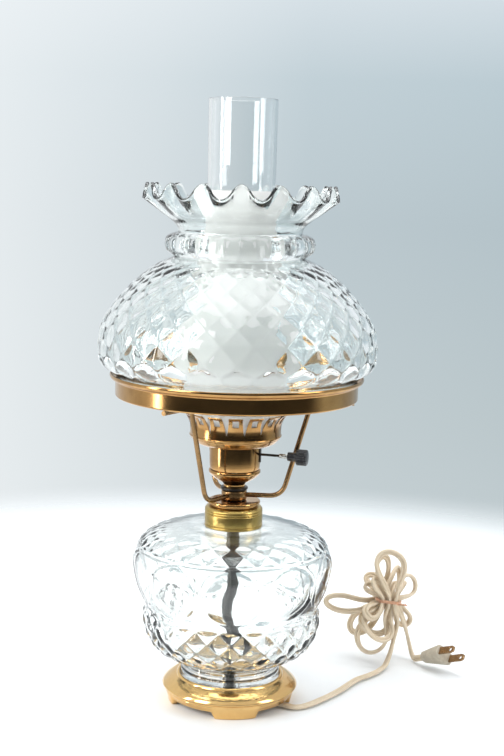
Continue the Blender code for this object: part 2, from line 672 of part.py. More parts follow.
def make_switch():
    along_stem = outward(SWITCH_ANGLE, SWITCH_Z)
    sleeve = STEM_RADIUS + FIT

    clip_base = SHELL_RADIUS + FIT
    shape = bmesh.new()
    corners = box(shape, (-CLIP_HEIGHT / 2, -CLIP_WIDTH / 2, clip_base),
                  (CLIP_HEIGHT / 2, CLIP_WIDTH / 2, clip_base + CLIP_THICKNESS))
    for corner in corners:
        if corner.co.x > 0:
            corner.co.y *= 0.4
    mesh = bpy.data.meshes.new("stem_clip")
    shape.to_mesh(mesh)
    shape.free()
    clip = add_object("stem_clip", mesh, DARK_METAL)
    clip.matrix_world = along_stem
    cut(clip, cutter("clip_hole", lambda hole: cylinder(
        hole, sleeve, STEM_INNER, 2 * SHELL_RADIUS, along_stem)))
    baked(clip)

    def on_stem(name, profile, material, closed):
        obj = turned(name, profile, material, steps=SMALL_STEPS, closed=closed)
        obj.matrix_world = along_stem
        return obj

    stem_end = KNOB_HEAD_START - FIT
    baked(on_stem("switch_stem", [(0.0, stem_end), (STEM_RADIUS, stem_end), (STEM_RADIUS, STEM_INNER),
                                  (0.0, STEM_INNER)], DARK_METAL, False))
    baked(on_stem("switch_ferrule", [(FERRULE_RADIUS, FERRULE_END), (FERRULE_RADIUS, FERRULE_START),
                                     (sleeve, FERRULE_START), (sleeve, FERRULE_END)], STEEL, True))
    neck, head = KNOB_NECK_RADIUS, KNOB_HEAD_RADIUS
    knob_start = FERRULE_END + FIT
    knob = on_stem("switch_knob", [
        (0.0, KNOB_END), (head - 0.8 * MM, KNOB_END), (head, KNOB_END - 0.8 * MM),
        (head, KNOB_HEAD_START + 0.6 * MM), (head - 0.6 * MM, KNOB_HEAD_START),
        (neck, KNOB_HEAD_START), (neck, knob_start), (sleeve, knob_start),
        (sleeve, KNOB_HEAD_START), (0.0, KNOB_HEAD_START)], BLACK_PLASTIC, False)

    def flutes(grooves):
        for k in range(KNOB_FLUTES):
            turn = Matrix.Rotation(k * 2 * math.pi / KNOB_FLUTES, 4, "Z")
            place = along_stem @ turn @ Matrix.Translation((head + 0.5 * MM, 0, 0))
            cylinder(grooves, 1.1 * MM, KNOB_HEAD_START - 1 * MM, KNOB_END + 1 * MM, place, 6)

    cut(knob, cutter("knob_flutes", flutes))
    baked(knob)


def make_gallery():
    floor, bead, wall = GALLERY_FLOOR_RADIUS, GALLERY_BEAD_RADIUS, GALLERY_WALL
    level, top = GALLERY_BEAD_HEIGHT, GALLERY_BEAD_HEIGHT + CROWN_HEIGHT
    skirt = bead - 0.4 * MM
    flare = [(1.0, 1.0), (0.60, 0.91), (0.22, 0.70), (0.0, 0.30)]
    crown = [(skirt + CROWN_FLARE * across, level + CROWN_HEIGHT * up) for across, up in flare]
    bowl = [(bead, level + 0.8 * MM), (bead, level), (bead - wall / 2, GALLERY_SEAT_HEIGHT - wall),
            (floor, 0.0)]
    bore = SHELL_RADIUS + FIT
    seat_inner = CHIMNEY_FITTER_RADIUS - CHIMNEY_WALL - 1.0 * MM
    inside = [(bore, 0.0), (bore, wall), (seat_inner, GALLERY_SEAT_HEIGHT),
              (bead - wall, GALLERY_SEAT_HEIGHT)]
    inside += [(radius - wall, z) for radius, z in reversed(crown[1:])]
    inside += [(crown[0][0] - wall, top + 0.3 * MM)]
    gallery = turned("chimney_gallery", crown + bowl + inside, AGED_BRASS, GALLERY_Z,
                     steps=3 * TAB_COUNT)

    reach = (skirt - 3 * MM, skirt + 2 * CROWN_FLARE)
    tip = GALLERY_Z + top

    def openings(shape):
        for k in range(TAB_COUNT):
            notch_turn = Matrix.Rotation((k + 0.5) * 2 * math.pi / TAB_COUNT + TAB_START, 4, "Z")
            corners = box(shape, (reach[0], -1.0, tip - TAB_HEIGHT), (reach[1], 1.0, tip + TAB_HEIGHT))
            spread = TAB_NOTCH_TOP - TAB_NOTCH_BOTTOM
            for corner in corners:
                high = corner.co.z > tip
                width = TAB_NOTCH_BOTTOM + (2 * spread if high else 0.0)
                corner.co.y = math.copysign(width / 2, corner.co.y)
                corner.co = notch_turn @ corner.co
            window_turn = Matrix.Rotation(k * 2 * math.pi / TAB_COUNT + TAB_START, 4, "Z")
            window_top = tip - TAB_WINDOW_DROP
            box(shape, (reach[0], -TAB_WINDOW_WIDTH / 2, window_top - TAB_WINDOW_HEIGHT),
                (reach[1], TAB_WINDOW_WIDTH / 2, window_top), window_turn)

    cut(gallery, cutter("crown_openings", openings))
    baked(gallery)


def make_ring():
    band, lip, wall = RING_BAND_RADIUS, RING_LIP_RADIUS, RING_WALL
    shoulder = RING_BAND_HEIGHT
    top = RING_BAND_HEIGHT + RING_LIP_HEIGHT
    flare = [(1.0, 1.0), (1.04, 0.60), (0.70, 0.20), (0.06, 0.0)]
    outer = [(band + (lip - band) * across, shoulder + RING_LIP_HEIGHT * up) for across, up in flare]
    outer += [(band, shoulder - 0.8 * MM), (band, 1.0 * MM), (band - 1.0 * MM, 0.0),
              (band - RING_FLANGE, 0.0)]
    inside = [(band - RING_FLANGE, wall), (band - wall, wall), (band - wall, shoulder + 0.2 * MM)]
    inside += [(band + (lip - band) * across - wall, shoulder + RING_LIP_HEIGHT * up + 0.3 * MM)
               for across, up in reversed(flare[1:3])]
    inside += [(lip - wall, top)]
    baked(turned("shade_ring", outer + inside, AGED_BRASS, RING_Z))


def shade_outline(beaded):
    """The shade's side from its ruffled rim down to the rim in the ring."""
    fitter, widest = SHADE_FITTER_RADIUS, SHADE_RADIUS
    lip_top = RING_Z + RING_BAND_HEIGHT + RING_LIP_HEIGHT - SHADE_Z
    neck, bead, upper = SHADE_NECK_RADIUS, SHADE_BEAD_RADIUS, SHADE_UPPER_NECK_RADIUS
    tall = SHADE_SHOULDER_HEIGHT
    bead_top = tall + SHADE_BEAD_HEIGHT + 1.5 * MM
    flare_z = bead_top + 3.0 * MM
    reach = SHADE_FLARE_RADIUS - upper
    flare = [(upper + reach * across, flare_z + SHADE_FLARE_HEIGHT * up) for across, up in
             ((1.0, 1.0), (0.75, 0.66), (0.25, 0.28))]
    rounding = 2.2 * MM
    collar = [(upper, bead_top + 1.0 * MM)]
    if beaded:
        collar += [(bead - rounding, bead_top - 1.2 * MM), (bead, (tall + bead_top) / 2),
                   (bead - rounding, tall + 1.6 * MM)]
    dome = [
        (neck, tall - 1.2 * MM), (neck + 0.36 * (widest - neck), 0.880 * tall),
        (neck + 0.66 * (widest - neck), 0.730 * tall), (neck + 0.87 * (widest - neck), 0.590 * tall),
        (neck + 0.975 * (widest - neck), 0.460 * tall), (widest, 0.335 * tall),
        (fitter + 0.82 * (widest - fitter), 0.228 * tall)]
    skirt = [(RING_LIP_RADIUS - RING_WALL - SHADE_LIP_GAP, lip_top + SHADE_LIP_CLEARANCE),
             (fitter, lip_top - SHADE_LIP_TURN), (fitter, 0.0)]
    return flare + collar + dome + skirt


def ruffled(mesh, start, height):
    """Lifts and lowers the flared rim in even waves."""
    for vertex in mesh.vertices:
        share = (vertex.co.z - start) / height
        if share > 0:
            angle = math.atan2(vertex.co.y, vertex.co.x)
            vertex.co.z += RUFFLE_RISE * min(share, 1.0) ** 1.5 * math.cos(RUFFLE_COUNT * angle)


def make_shade():
    outline = shade_outline(beaded=True)
    hollow = [tuple(point) for point in inside_of(shade_outline(beaded=False)[:-1], SHADE_WALL)]
    inner = hollow[:1] + hollow[2:4] + hollow[4:11:2] + hollow[11:]
    bottom = (SHADE_FITTER_RADIUS - SHADE_WALL, 0.0)
    shade = turned("glass_shade", outline + [bottom] + list(reversed(inner)), CLEAR_GLASS, SHADE_Z,
                   steps=4 * RUFFLE_COUNT)
    shade = baked(shade)
    rim_height = SHADE_FLARE_HEIGHT * 0.75
    rim_start = outline[0][1] - rim_height
    ruffled(shade.data, rim_start, rim_height)


def make_chimney():
    fitter, bulge, top = CHIMNEY_FITTER_RADIUS, CHIMNEY_BULGE_RADIUS, CHIMNEY_TOP_RADIUS
    tall = CHIMNEY_HEIGHT
    outline = [
        (top, tall), (top - 0.3 * MM, 0.71 * tall), (top + 0.08 * (bulge - top), 0.620 * tall),
        (top + 0.45 * (bulge - top), 0.490 * tall), (top + 0.82 * (bulge - top), 0.365 * tall),
        (bulge, 0.250 * tall), (fitter + 0.66 * (bulge - fitter), 0.150 * tall),
        (fitter, 0.070 * tall), (fitter, 0.0)]
    inner = inside_of(outline[:-1], CHIMNEY_WALL)
    bottom = (fitter - CHIMNEY_WALL, 0.0)
    profile = outline + [bottom] + [tuple(point) for point in reversed(inner)]
    baked(turned("chimney", profile, FROSTED_GLASS, CHIMNEY_Z))


def make_bulb():
    radius, wall, height = BULB_CAP_RADIUS, SCREW_SHELL_WALL, BULB_CAP_HEIGHT
    opening = BULB_TIP_RADIUS + FIT
    baked(turned("bulb_cap", [(radius, height), (radius, 2.4 * MM), (opening + 1.2 * MM, 0.0),
                              (opening, 0.0), (opening, wall), (radius - wall, 2.4 * MM + wall),
                              (radius - wall, height)], STEEL, BULB_Z, SMALL_STEPS))
    baked(turned("bulb_contact", [(0.0, BULB_TIP_HEIGHT), (BULB_TIP_RADIUS, BULB_TIP_HEIGHT),
                                  (BULB_TIP_RADIUS, 0.4 * BULB_TIP_HEIGHT),
                                  (0.5 * BULB_TIP_RADIUS, 0.0), (0.0, 0.0)], STEEL,
                 BULB_TIP_Z, SMALL_STEPS, closed=False))
    neck = radius - wall - FIT
    outline = [
        (0.2 * MM, BULB_GLASS_HEIGHT), (0.50 * BULB_RADIUS, 0.945 * BULB_GLASS_HEIGHT),
        (0.87 * BULB_RADIUS, 0.80 * BULB_GLASS_HEIGHT), (BULB_RADIUS, 0.62 * BULB_GLASS_HEIGHT),
        (0.88 * BULB_RADIUS, 0.40 * BULB_GLASS_HEIGHT), (neck, BULB_INSET + 1.0 * MM), (neck, 0.0)]
    inner = [tuple(point) for point in inside_of(outline, BULB_WALL)]
    inner[0] = (0.0, BULB_GLASS_HEIGHT - BULB_WALL)
    outer = [(0.0, BULB_GLASS_HEIGHT)] + outline[1:]
    baked(turned("bulb_glass", outer + list(reversed(inner)), FROSTED_GLASS,
                 BULB_Z + BULB_CAP_HEIGHT - BULB_INSET, SMALL_STEPS, closed=False))


# Places of the strands in the tie, in steps across and back, in the order of the flex
STRANDS = [
    (1, -1.8), (0, -1.8), (-0.5, 0.9), (-1, 1.8), (0, 1.8), (-1.5, 0.9), (-1, 0), (-1.5, -0.9),
    (-1, -1.8), (-0.5, -0.9), (0.5, -0.9), (0, 0), (0.5, 0.9), (1.5, 0.9), (1, 0), (1.5, -0.9)]

# The bights, which leave the tie upward and downward in turn: the place of the tip from the
# tie's middle (across, back, up) and the half width in millimetres, the turn about the
# length in degrees, and how much fuller the side of the first strand is
BIGHTS = [
    ((-12, -4, 41), 13, 8, 0.35), ((-14, -6, -48), 14, 25, 0.0), ((-8, 9, 36), 8, 30, 0.0),
    ((-27, 10, -37), 9, 20, 0.0), ((-21, 17, 13), 6, 30, 0.0), ((-55, 2, -9), 7, 5, 0.0),
    ((-24, -2, 8), 6, 40, 0.0), ((-22, -19, -10), 7, 20, 0.0), ((-17, -10, 19), 6, 40, 0.0),
    ((-10, -22, -29), 15, -10, 0.0), ((9, 22, 22), 8, 30, 0.0), ((-14, -2, -30), 14, 10, 0.0),
    ((12, 24, 8), 7, 60, 0.0), ((22, 8, -24), 8, 10, 0.0), ((22, 6, 17), 12, 10, 0.0)]

# A bight's outline from its root to its tip and back: shares of its length and half width
BIGHT_SHAPE = [(0.26, 0.50), (0.56, 1.0), (0.85, 0.74), (1.0, 0.0), (0.85, -0.74), (0.56, -1.0),
               (0.26, -0.50)]


def tie_frame():
    """The bundle's own axes as rows: across, back and up."""
    up = np.array([math.sin(TIE_LEAN), 0.0, math.cos(TIE_LEAN)])
    back = np.array([0.0, 1.0, 0.0])
    return np.stack([np.cross(back, up), back, up])


def strand_place(index, level):
    across, back, up = tie_frame()
    x, y = STRANDS[index]
    return np.array(TIE_CENTRE) * MM + (across * x + back * y) * STRAND_STEP + up * level


def bight_points(index):
    """Guide points of one bight, from one strand's end round to the next one's."""
    tip, width, turn, fuller = BIGHTS[index]
    across, back, up = frame = tie_frame()
    way = up if index % 2 == 0 else -up
    level = STRAND_HALF if index % 2 == 0 else -STRAND_HALF
    first, second = strand_place(index, level), strand_place(index + 1, level)
    end = (np.array(TIE_CENTRE) + np.array(tip) @ frame) * MM
    middle = (first + second) / 2
    sideways = 1 - abs((end - middle).dot(up)) / np.linalg.norm(end - middle)
    root = middle + way * (BIGHT_ROOT + SIDE_BIGHT_ROOT * sideways) * STRAND_HALF
    length = np.linalg.norm(end - root)
    ahead = (end - root) / length
    flat = np.cross(back, ahead)
    flat /= np.linalg.norm(flat)
    angle = math.radians(turn)
    side = flat * math.cos(angle) + np.cross(ahead, flat) * math.sin(angle)
    if (first - second).dot(side) < 0:
        side = -side
    return [root + ahead * length * along + side * width * MM * (wide + fuller * abs(wide))
            for along, wide in BIGHT_SHAPE]


def tie_ring():
    """The tie's own line, drawn tight round the strands."""
    across, back, _ = tie_frame()
    reach = CORD_RADIUS + TIE_RADIUS + 3 * FIT
    ring = []
    for k in range(TIE_STEPS):
        angle = 2 * math.pi * k / TIE_STEPS
        x, y = math.cos(angle), math.sin(angle)
        outermost = max(STRANDS, key=lambda place: place[0] * x + place[1] * y)
        ring.append(np.array(TIE_CENTRE) * MM + across * (outermost[0] * STRAND_STEP + x * reach)
                    + back * (outermost[1] * STRAND_STEP + y * reach))
    return np.array(ring)


def eased(line, pinned, passes=220):
    """Moves apart the strands that lie too close, and rounds the line's bends."""
    line = line.copy()
    count = len(line)
    least = 2 * CORD_RADIUS + STRAND_GAP
    near = int(math.ceil(1.8 * least * (count - 1) / length_of(line)))
    apart = np.abs(np.subtract.outer(np.arange(count), np.arange(count))) > near
    tie = tie_ring()
    tie_least = CORD_RADIUS + TIE_RADIUS + 2 * FIT
    for step in range(passes):
        push = pushed(line, line, least, apart) + pushed(line, tie, tie_least, True)
        even = np.zeros_like(line)
        even[1:-1] = (line[:-2] + line[2:]) / 2 - line[1:-1]
        kink = np.zeros_like(line)
        kink[1:-1] = (even[:-2] + even[2:]) / 2 - even[1:-1]
        soft = 0.28 * max(0.06, 1 - step / (0.8 * passes))
        line += np.where(pinned[:, None], 0.0, 0.35 * push + soft * (0.25 * even - 0.9 * kink))
        line[:, 2] = np.maximum(line[:, 2], CORD_RADIUS + FIT)
    return line


def pushed(line, others, least, counted):
    """How far each point of the line lacks the least distance from the others."""
    offset = line[:, None, :] - others[None, :, :]
    distance = np.linalg.norm(offset, axis=2) + 1e-9
    lack = np.where(counted, np.clip(least - distance, 0.0, None), 0.0)
    return (offset / distance[:, :, None] * lack[:, :, None]).sum(axis=1)


def bundle_line(start, start_way, end, end_way):
    """The flex from the foot of the bundle, through its bights, to the end of the bundle."""
    straight = 2.4 * CORD_RADIUS
    guide = [start, start + start_way * straight] + [np.array(p) * MM for p in RISE_ROUTE]
    for k in range(len(STRANDS)):
        rise = STRAND_HALF if k % 2 == 0 else -STRAND_HALF
        guide += [strand_place(k, -rise), strand_place(k, 0.0), strand_place(k, rise)]
        if k < len(BIGHTS):
            guide += bight_points(k)
    guide += [np.array(p) * MM for p in FALL_ROUTE] + [end - end_way * straight, end]
    rough = smooth_line(guide, 8)
    line = evenly(rough, int(length_of(rough) / (1.2 * CORD_RADIUS)))

    up = tie_frame()[2]
    offset = line - np.array(TIE_CENTRE) * MM
    level = offset @ up
    beside = np.linalg.norm(offset - np.outer(level, up), axis=1)
    pinned = (np.abs(level) < 0.7 * STRAND_HALF) & (beside < 2.3 * STRAND_STEP)
    pinned[:4] = True
    pinned[-4:] = True
    return eased(line, pinned)


def by_bend(line, count, bias):
    """The same line with its points closer together where it bends."""
    steps = np.diff(line, axis=0)
    weight = np.linalg.norm(steps, axis=1)
    way = steps / weight[:, None]
    turn = np.arccos(np.clip((way[1:] * way[:-1]).sum(axis=1), -1.0, 1.0))
    weight[1:] += bias * turn / 2
    weight[:-1] += bias * turn / 2
    return at_lengths(line, weight, count)


def least_gap(line, radius):
    """The smallest clear distance between two stretches of a tube that aren't neighbours."""
    count = 1400
    fine = evenly(line, count)
    skip = int(math.ceil(1.6 * math.pi * radius * count / length_of(line)))
    apart = np.abs(np.subtract.outer(np.arange(count), np.arange(count))) > skip
    distance = np.linalg.norm(fine[:, None, :] - fine[None, :, :], axis=2)
    return float(distance[apart].min() - 2 * radius)


def plug_axis():
    """The way that the plug's face looks, and the middle of its back end."""
    way = np.array([math.cos(PLUG_HEADING) * math.cos(PLUG_RISE),
                    math.sin(PLUG_HEADING) * math.cos(PLUG_RISE), math.sin(PLUG_RISE)])
    return way, np.array(PLUG_FACE) * MM - way * PLUG_LENGTH


def make_cord():
    # Inside the lamp the flex drops through the pipe and turns out under the base
    floor_z = CORD_RADIUS + FIT
    straight = 2.2 * CORD_RADIUS
    inside = filleted([(0.0, SWITCH_BODY_Z - FIT), (0.0, floor_z), (CORD_EXIT_RADIUS, floor_z)],
                      [CORD_FLOOR_BEND])
    baked(rod("inner_cord", in_plane(inside, CORD_EXIT_ANGLE), CORD_RADIUS, CORD_BEIGE))

    exit_way = np.array([math.cos(CORD_EXIT_ANGLE), math.sin(CORD_EXIT_ANGLE), 0.0])
    leave = exit_way * (CORD_EXIT_RADIUS + FIT) + np.array([0.0, 0.0, floor_z])
    lead_end = np.array([*LEAD_END, 0.0]) * MM + np.array([0.0, 0.0, floor_z])
    lead_way = np.array([math.cos(LEAD_END_HEADING), math.sin(LEAD_END_HEADING), 0.0])
    on_table = [np.array([x * MM, y * MM, floor_z]) for x, y in LEAD_ROUTE]
    lead = smooth_line([leave, leave + exit_way * straight] + on_table
                       + [lead_end - lead_way * straight, lead_end], 6)

    fall_end = np.array(FALL_END) * MM
    fall_way = np.array(FALL_END_WAY)
    bundle = bundle_line(lead_end + lead_way * FIT, lead_way, fall_end, fall_way)
    hank = by_bend(bundle, BIGHT_STEPS * len(BIGHTS), 1.7 * CORD_RADIUS)

    plug_way, plug_back = plug_axis()
    tail_start = fall_end + fall_way * FIT
    tail = smooth_line([tail_start, tail_start + fall_way * straight]
                       + [np.array(p) * MM for p in TAIL_ROUTE]
                       + [plug_back - plug_way * (FIT + 2 * straight),
                          plug_back - plug_way * (FIT + straight), plug_back - plug_way * FIT], 6)
    rod("cord_lead", straight_ended(lead, 5 * CORD_RADIUS), CORD_RADIUS, CORD_BEIGE)
    rod("cord_hank", hank, CORD_RADIUS, CORD_BEIGE, resolution=1)
    rod("plug_lead", straight_ended(tail, 2 * CORD_RADIUS), CORD_RADIUS, CORD_BEIGE)
    print("flex outside the lamp %.3f m, of which the bundle %.3f m"
          % (length_of(lead) + length_of(hank) + length_of(tail), length_of(hank)))
    print("least gap in the bundle %.2f mm" % (least_gap(hank, CORD_RADIUS) / MM))
    baked(rod("cord_tie", tie_ring(), TIE_RADIUS, COPPER_TIE, resolution=1, cyclic=True))


def straight_ended(line, spacing):
    """Even points along a line, whose first and last steps are one tube diameter long."""
    total = length_of(line)
    end = 2 * CORD_RADIUS
    inner = evenly(line, 400)
    along = np.linspace(0.0, total, 400)
    wanted = np.linspace(end, total - end, int((total - 2 * end) / spacing) + 2)
    wanted = np.concatenate([[0.0], wanted, [total]])
    return np.stack([np.interp(wanted, along, inner[:, k]) for k in range(3)], axis=1)


def make_plug():
    face_way = Vector(plug_axis()[0])
    flat = Vector((-math.sin(PLUG_HEADING), math.cos(PLUG_HEADING), 0.0))
    spread = Matrix.Rotation(PLUG_ROLL, 3, face_way) @ flat
    thick = face_way.cross(spread)
    frame = Matrix((spread, thick, face_way)).transposed().to_4x4()
    place = Matrix.Translation(Vector(PLUG_FACE) * MM) @ frame

    shape = bmesh.new()
    corners = box(shape, (-PLUG_WIDTH / 2, -PLUG_THICKNESS / 2, -PLUG_LENGTH),
                  (PLUG_WIDTH / 2, PLUG_THICKNESS / 2, 0.0))
    for corner in corners:
        if corner.co.z < -PLUG_LENGTH / 2:
            corner.co.x *= PLUG_TAIL_WIDTH / PLUG_WIDTH
            corner.co.y *= 0.8 * PLUG_TAIL_WIDTH / PLUG_THICKNESS
    mesh = bpy.data.meshes.new("plug_body")
    shape.to_mesh(mesh)
    shape.free()
    body = add_object("plug_body", mesh, PLUG_BEIGE)
    body.matrix_world = place
    rounding = body.modifiers.new("Round", "BEVEL")
    rounding.width = 1.8 * MM
    rounding.segments = 3
    rounding.limit_method = "NONE"

    sides = (("plug_blade_upper", -1), ("plug_blade_lower", 1))
    slot = BLADE_THICKNESS / 2 + FIT

    def slots(hole):
        for _, side in sides:
            middle = side * BLADE_SPACING / 2
            box(hole, (middle - slot, -BLADE_WIDTH / 2 - FIT, -BLADE_ROOT - FIT),
                (middle + slot, BLADE_WIDTH / 2 + FIT, BLADE_ROOT), place)

    cut(body, cutter("blade_slots", slots))
    baked(body)
    for name, side in sides:
        middle = side * BLADE_SPACING / 2
        shape = bmesh.new()
        box(shape, (-BLADE_THICKNESS / 2, -BLADE_WIDTH / 2, -BLADE_ROOT),
            (BLADE_THICKNESS / 2, BLADE_WIDTH / 2, BLADE_LENGTH))
        mesh = bpy.data.meshes.new(name)
        shape.to_mesh(mesh)
        shape.free()
        blade = add_object(name, mesh, BLADE_BRASS)
        blade.matrix_world = place @ Matrix.Translation((middle, 0, 0))
        hole_z = BLADE_LENGTH - BLADE_HOLE_FROM_TIP
        side_way = place @ Matrix.Translation((middle, 0, hole_z)) @ Matrix.Rotation(math.pi / 2, 4, "Y")
        cut(blade, cutter(name + "_hole", lambda hole: cylinder(
            hole, BLADE_HOLE_RADIUS, -2 * BLADE_THICKNESS, 2 * BLADE_THICKNESS, side_way)))
        baked(blade)


clear_scene()
PARTS = collection("hurricane_lamp")
CUTTERS = collection("cutters")
CUTTERS.hide_render = True
POLISHED_BRASS = finish("polished brass", (0.75, 0.53, 0.22), 0.18, 1.0)
AGED_BRASS = finish("aged brass", (0.47, 0.30, 0.11), 0.25, 1.0)
BRIGHT_BRASS = finish("bright brass", (0.83, 0.64, 0.30), 0.3, 1.0)
DARK_METAL = finish("dark metal", (0.03, 0.028, 0.025), 0.4, 1.0)
STEEL = finish("zinc plated steel", (0.52, 0.52, 0.50), 0.35, 1.0)
BLACK_PLASTIC = finish("black plastic", (0.012, 0.012, 0.014), 0.35, 0.0)
FIBRE = finish("grey fibre liner", (0.19, 0.17, 0.14), 0.9, 0.0)
CLEAR_GLASS = finish("clear glass", (0.93, 0.96, 0.95), 0.04, 0.0, 1.0)
FROSTED_GLASS = finish("frosted glass", (0.92, 0.92, 0.90), 0.45, 0.0, 0.6)
CORD_BEIGE = finish("beige vinyl flex", (0.71, 0.60, 0.45), 0.5, 0.0)
COPPER_TIE = finish("copper coloured tie", (0.66, 0.36, 0.22), 0.5, 0.0)
PLUG_BEIGE = finish("beige vinyl plug", (0.50, 0.44, 0.34), 0.55, 0.0)
BLADE_BRASS = finish("blade brass", (0.34, 0.24, 0.15), 0.35, 1.0)

make_base()
make_font()
make_collar()
make_arms()
make_neck_nut()
make_socket()
make_switch()
make_gallery()
make_ring()
make_shade()
make_chimney()
make_bulb()
make_cord()
make_plug()
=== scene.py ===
import json
import math

import bmesh
import bpy
import numpy as np
from mathutils import Matrix, Vector

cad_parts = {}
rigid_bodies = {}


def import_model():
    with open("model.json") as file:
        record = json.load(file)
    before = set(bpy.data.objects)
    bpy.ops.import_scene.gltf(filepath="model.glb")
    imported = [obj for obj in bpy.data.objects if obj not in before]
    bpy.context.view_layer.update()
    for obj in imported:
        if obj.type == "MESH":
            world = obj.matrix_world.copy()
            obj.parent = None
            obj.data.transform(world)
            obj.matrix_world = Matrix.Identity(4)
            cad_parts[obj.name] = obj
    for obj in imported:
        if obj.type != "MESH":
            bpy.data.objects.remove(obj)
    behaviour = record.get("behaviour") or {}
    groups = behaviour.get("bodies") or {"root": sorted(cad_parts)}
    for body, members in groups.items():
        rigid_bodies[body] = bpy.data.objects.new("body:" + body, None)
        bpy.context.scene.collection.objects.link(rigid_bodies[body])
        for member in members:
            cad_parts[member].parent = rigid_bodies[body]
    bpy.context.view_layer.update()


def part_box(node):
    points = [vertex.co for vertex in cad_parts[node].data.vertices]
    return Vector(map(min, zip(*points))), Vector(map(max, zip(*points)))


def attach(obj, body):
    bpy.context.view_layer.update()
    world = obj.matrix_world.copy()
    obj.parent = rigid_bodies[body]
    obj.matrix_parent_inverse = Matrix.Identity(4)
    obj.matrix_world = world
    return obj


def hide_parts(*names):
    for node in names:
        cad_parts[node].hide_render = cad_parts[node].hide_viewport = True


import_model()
mm = 0.001
up = np.array([0.0, 0.0, 1.0])
print("frame loaded")


# helpers for pieces, outlines and paths
def place(obj, material, body, slotName, *nodes):
    # links a piece, gives it its material and lets it stand for its CAD nodes
    if obj.name not in bpy.context.scene.collection.all_objects:
        bpy.context.scene.collection.objects.link(obj)
    for finish in material if isinstance(material, list) else [material]:
        obj.data.materials.append(finish)
    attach(obj, body)
    if nodes:
        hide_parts(*nodes)
    return obj


def smoothed(mesh, sharpDegrees=35):
    mesh.shade_smooth()
    mesh.set_sharp_from_angle(angle=math.radians(sharpDegrees))


def meshObject(name, verts, faces, sharpDegrees=35):
    mesh = bpy.data.meshes.new(name)
    mesh.from_pydata([tuple(v) for v in verts], [], faces)
    mesh.update()
    smoothed(mesh, sharpDegrees)
    return bpy.data.objects.new(name, mesh)


def repaired(obj, sharpDegrees, weldDistance=0.0):
    shape = bmesh.new()
    shape.from_mesh(obj.data)
    if weldDistance:
        bmesh.ops.remove_doubles(shape, verts=shape.verts, dist=weldDistance)
    bmesh.ops.recalc_face_normals(shape, faces=shape.faces)
    shape.to_mesh(obj.data)
    shape.free()
    smoothed(obj.data, sharpDegrees)
    return obj


def softened(points, radius, steps=3, closed=False):
    # rounds the corners of an outline; both in millimetres
    known = [np.array(p, dtype=float) for p in points]
    count = len(known)
    line = []
    for k, corner in enumerate(known):
        if not closed and k in (0, count - 1):
            line.append(corner)
            continue
        before, after = known[k - 1], known[(k + 1) % count]
        reachIn = min(radius, 0.45 * np.linalg.norm(before - corner))
        reachOut = min(radius, 0.45 * np.linalg.norm(after - corner))
        start = corner + (before - corner) / np.linalg.norm(before - corner) * reachIn
        stop = corner + (after - corner) / np.linalg.norm(after - corner) * reachOut
        for t in np.linspace(0, 1, steps + 1):
            line.append((1 - t) ** 2 * start + 2 * t * (1 - t) * corner + t ** 2 * stop)
    return np.array(line)


def smoothLine(points, perSpan):
    # a smooth curve through the points (centripetal Catmull-Rom)
    known = np.array(points, dtype=float)
    ends = np.vstack([2 * known[0] - known[1], known, 2 * known[-1] - known[-2]])
    line = []
    for before, start, stop, after in zip(ends, ends[1:], ends[2:], ends[3:]):
        first = math.sqrt(np.linalg.norm(start - before))
        span = math.sqrt(np.linalg.norm(stop - start))
        last = math.sqrt(np.linalg.norm(after - stop))
        leave = ((start - before) / first - (stop - before) / (first + span)
                 + (stop - start) / span) * span
        arrive = ((stop - start) / span - (after - start) / (span + last)
                  + (after - stop) / last) * span
        for t in np.arange(perSpan) / perSpan:
            line.append((2 * t ** 3 - 3 * t ** 2 + 1) * start + (t ** 3 - 2 * t ** 2 + t) * leave
                        + (3 * t ** 2 - 2 * t ** 3) * stop + (t ** 3 - t ** 2) * arrive)
    line.append(known[-1])
    return np.array(line)


def lengthOf(points):
    return float(np.linalg.norm(np.diff(points, axis=0), axis=1).sum())


def evenly(points, count):
    along = np.concatenate([[0.0], np.cumsum(np.linalg.norm(np.diff(points, axis=0), axis=1))])
    wanted = np.linspace(0.0, along[-1], count)
    return np.stack([np.interp(wanted, along, points[:, k]) for k in range(points.shape[1])], axis=1)


def insideOf(outline, wall):
    # an outline that runs down the outer side, moved in by the wall
    line = np.array(outline, dtype=float)
    slope = np.gradient(line, axis=0)
    slope /= np.linalg.norm(slope, axis=1)[:, None]
    return line + wall * np.stack([slope[:, 1], -slope[:, 0]], axis=1)


def turned(name, profile, height, segments=128, closed=True, relief=None, sharpDegrees=35):
    # a lathe: the profile in (radius, height) millimetres runs down the outer side
    line = np.array(profile, dtype=float)
    rows = len(line)
    angles = np.arange(segments) * 2 * math.pi / segments
    radius = np.repeat(line[:, 0][:, None], segments, axis=1)
    level = np.repeat(line[:, 1][:, None], segments, axis=1)
    if relief:
        radius, level = relief(radius, level, np.repeat(angles[None, :], rows, axis=0))
    verts = np.stack([radius * np.cos(angles), radius * np.sin(angles), level], axis=2) * mm
    verts[:, :, 2] += height
    faces = []
    for row in range(rows if closed else rows - 1):
        nextRow = (row + 1) % rows
        for k in range(segments):
            after = (k + 1) % segments
            a, b = row * segments + k, row * segments + after
            c, d = nextRow * segments + after, nextRow * segments + k
            if line[row, 0] < 1e-6:
                faces.append((row * segments, c, d)[::-1])
            elif line[nextRow, 0] < 1e-6:
                faces.append((a, b, nextRow * segments)[::-1])
            else:
                faces.append((a, b, c, d)[::-1])
    return repaired(meshObject(name, verts.reshape(-1, 3), faces, sharpDegrees), sharpDegrees, 0.000002)


def outward(angle, height=0.0):
    # turns Z to point out from the lamp's axis
    turn = Matrix.Rotation(angle, 4, "Z") @ Matrix.Rotation(math.pi / 2, 4, "Y")
    return Matrix.Translation((0, 0, height)) @ turn


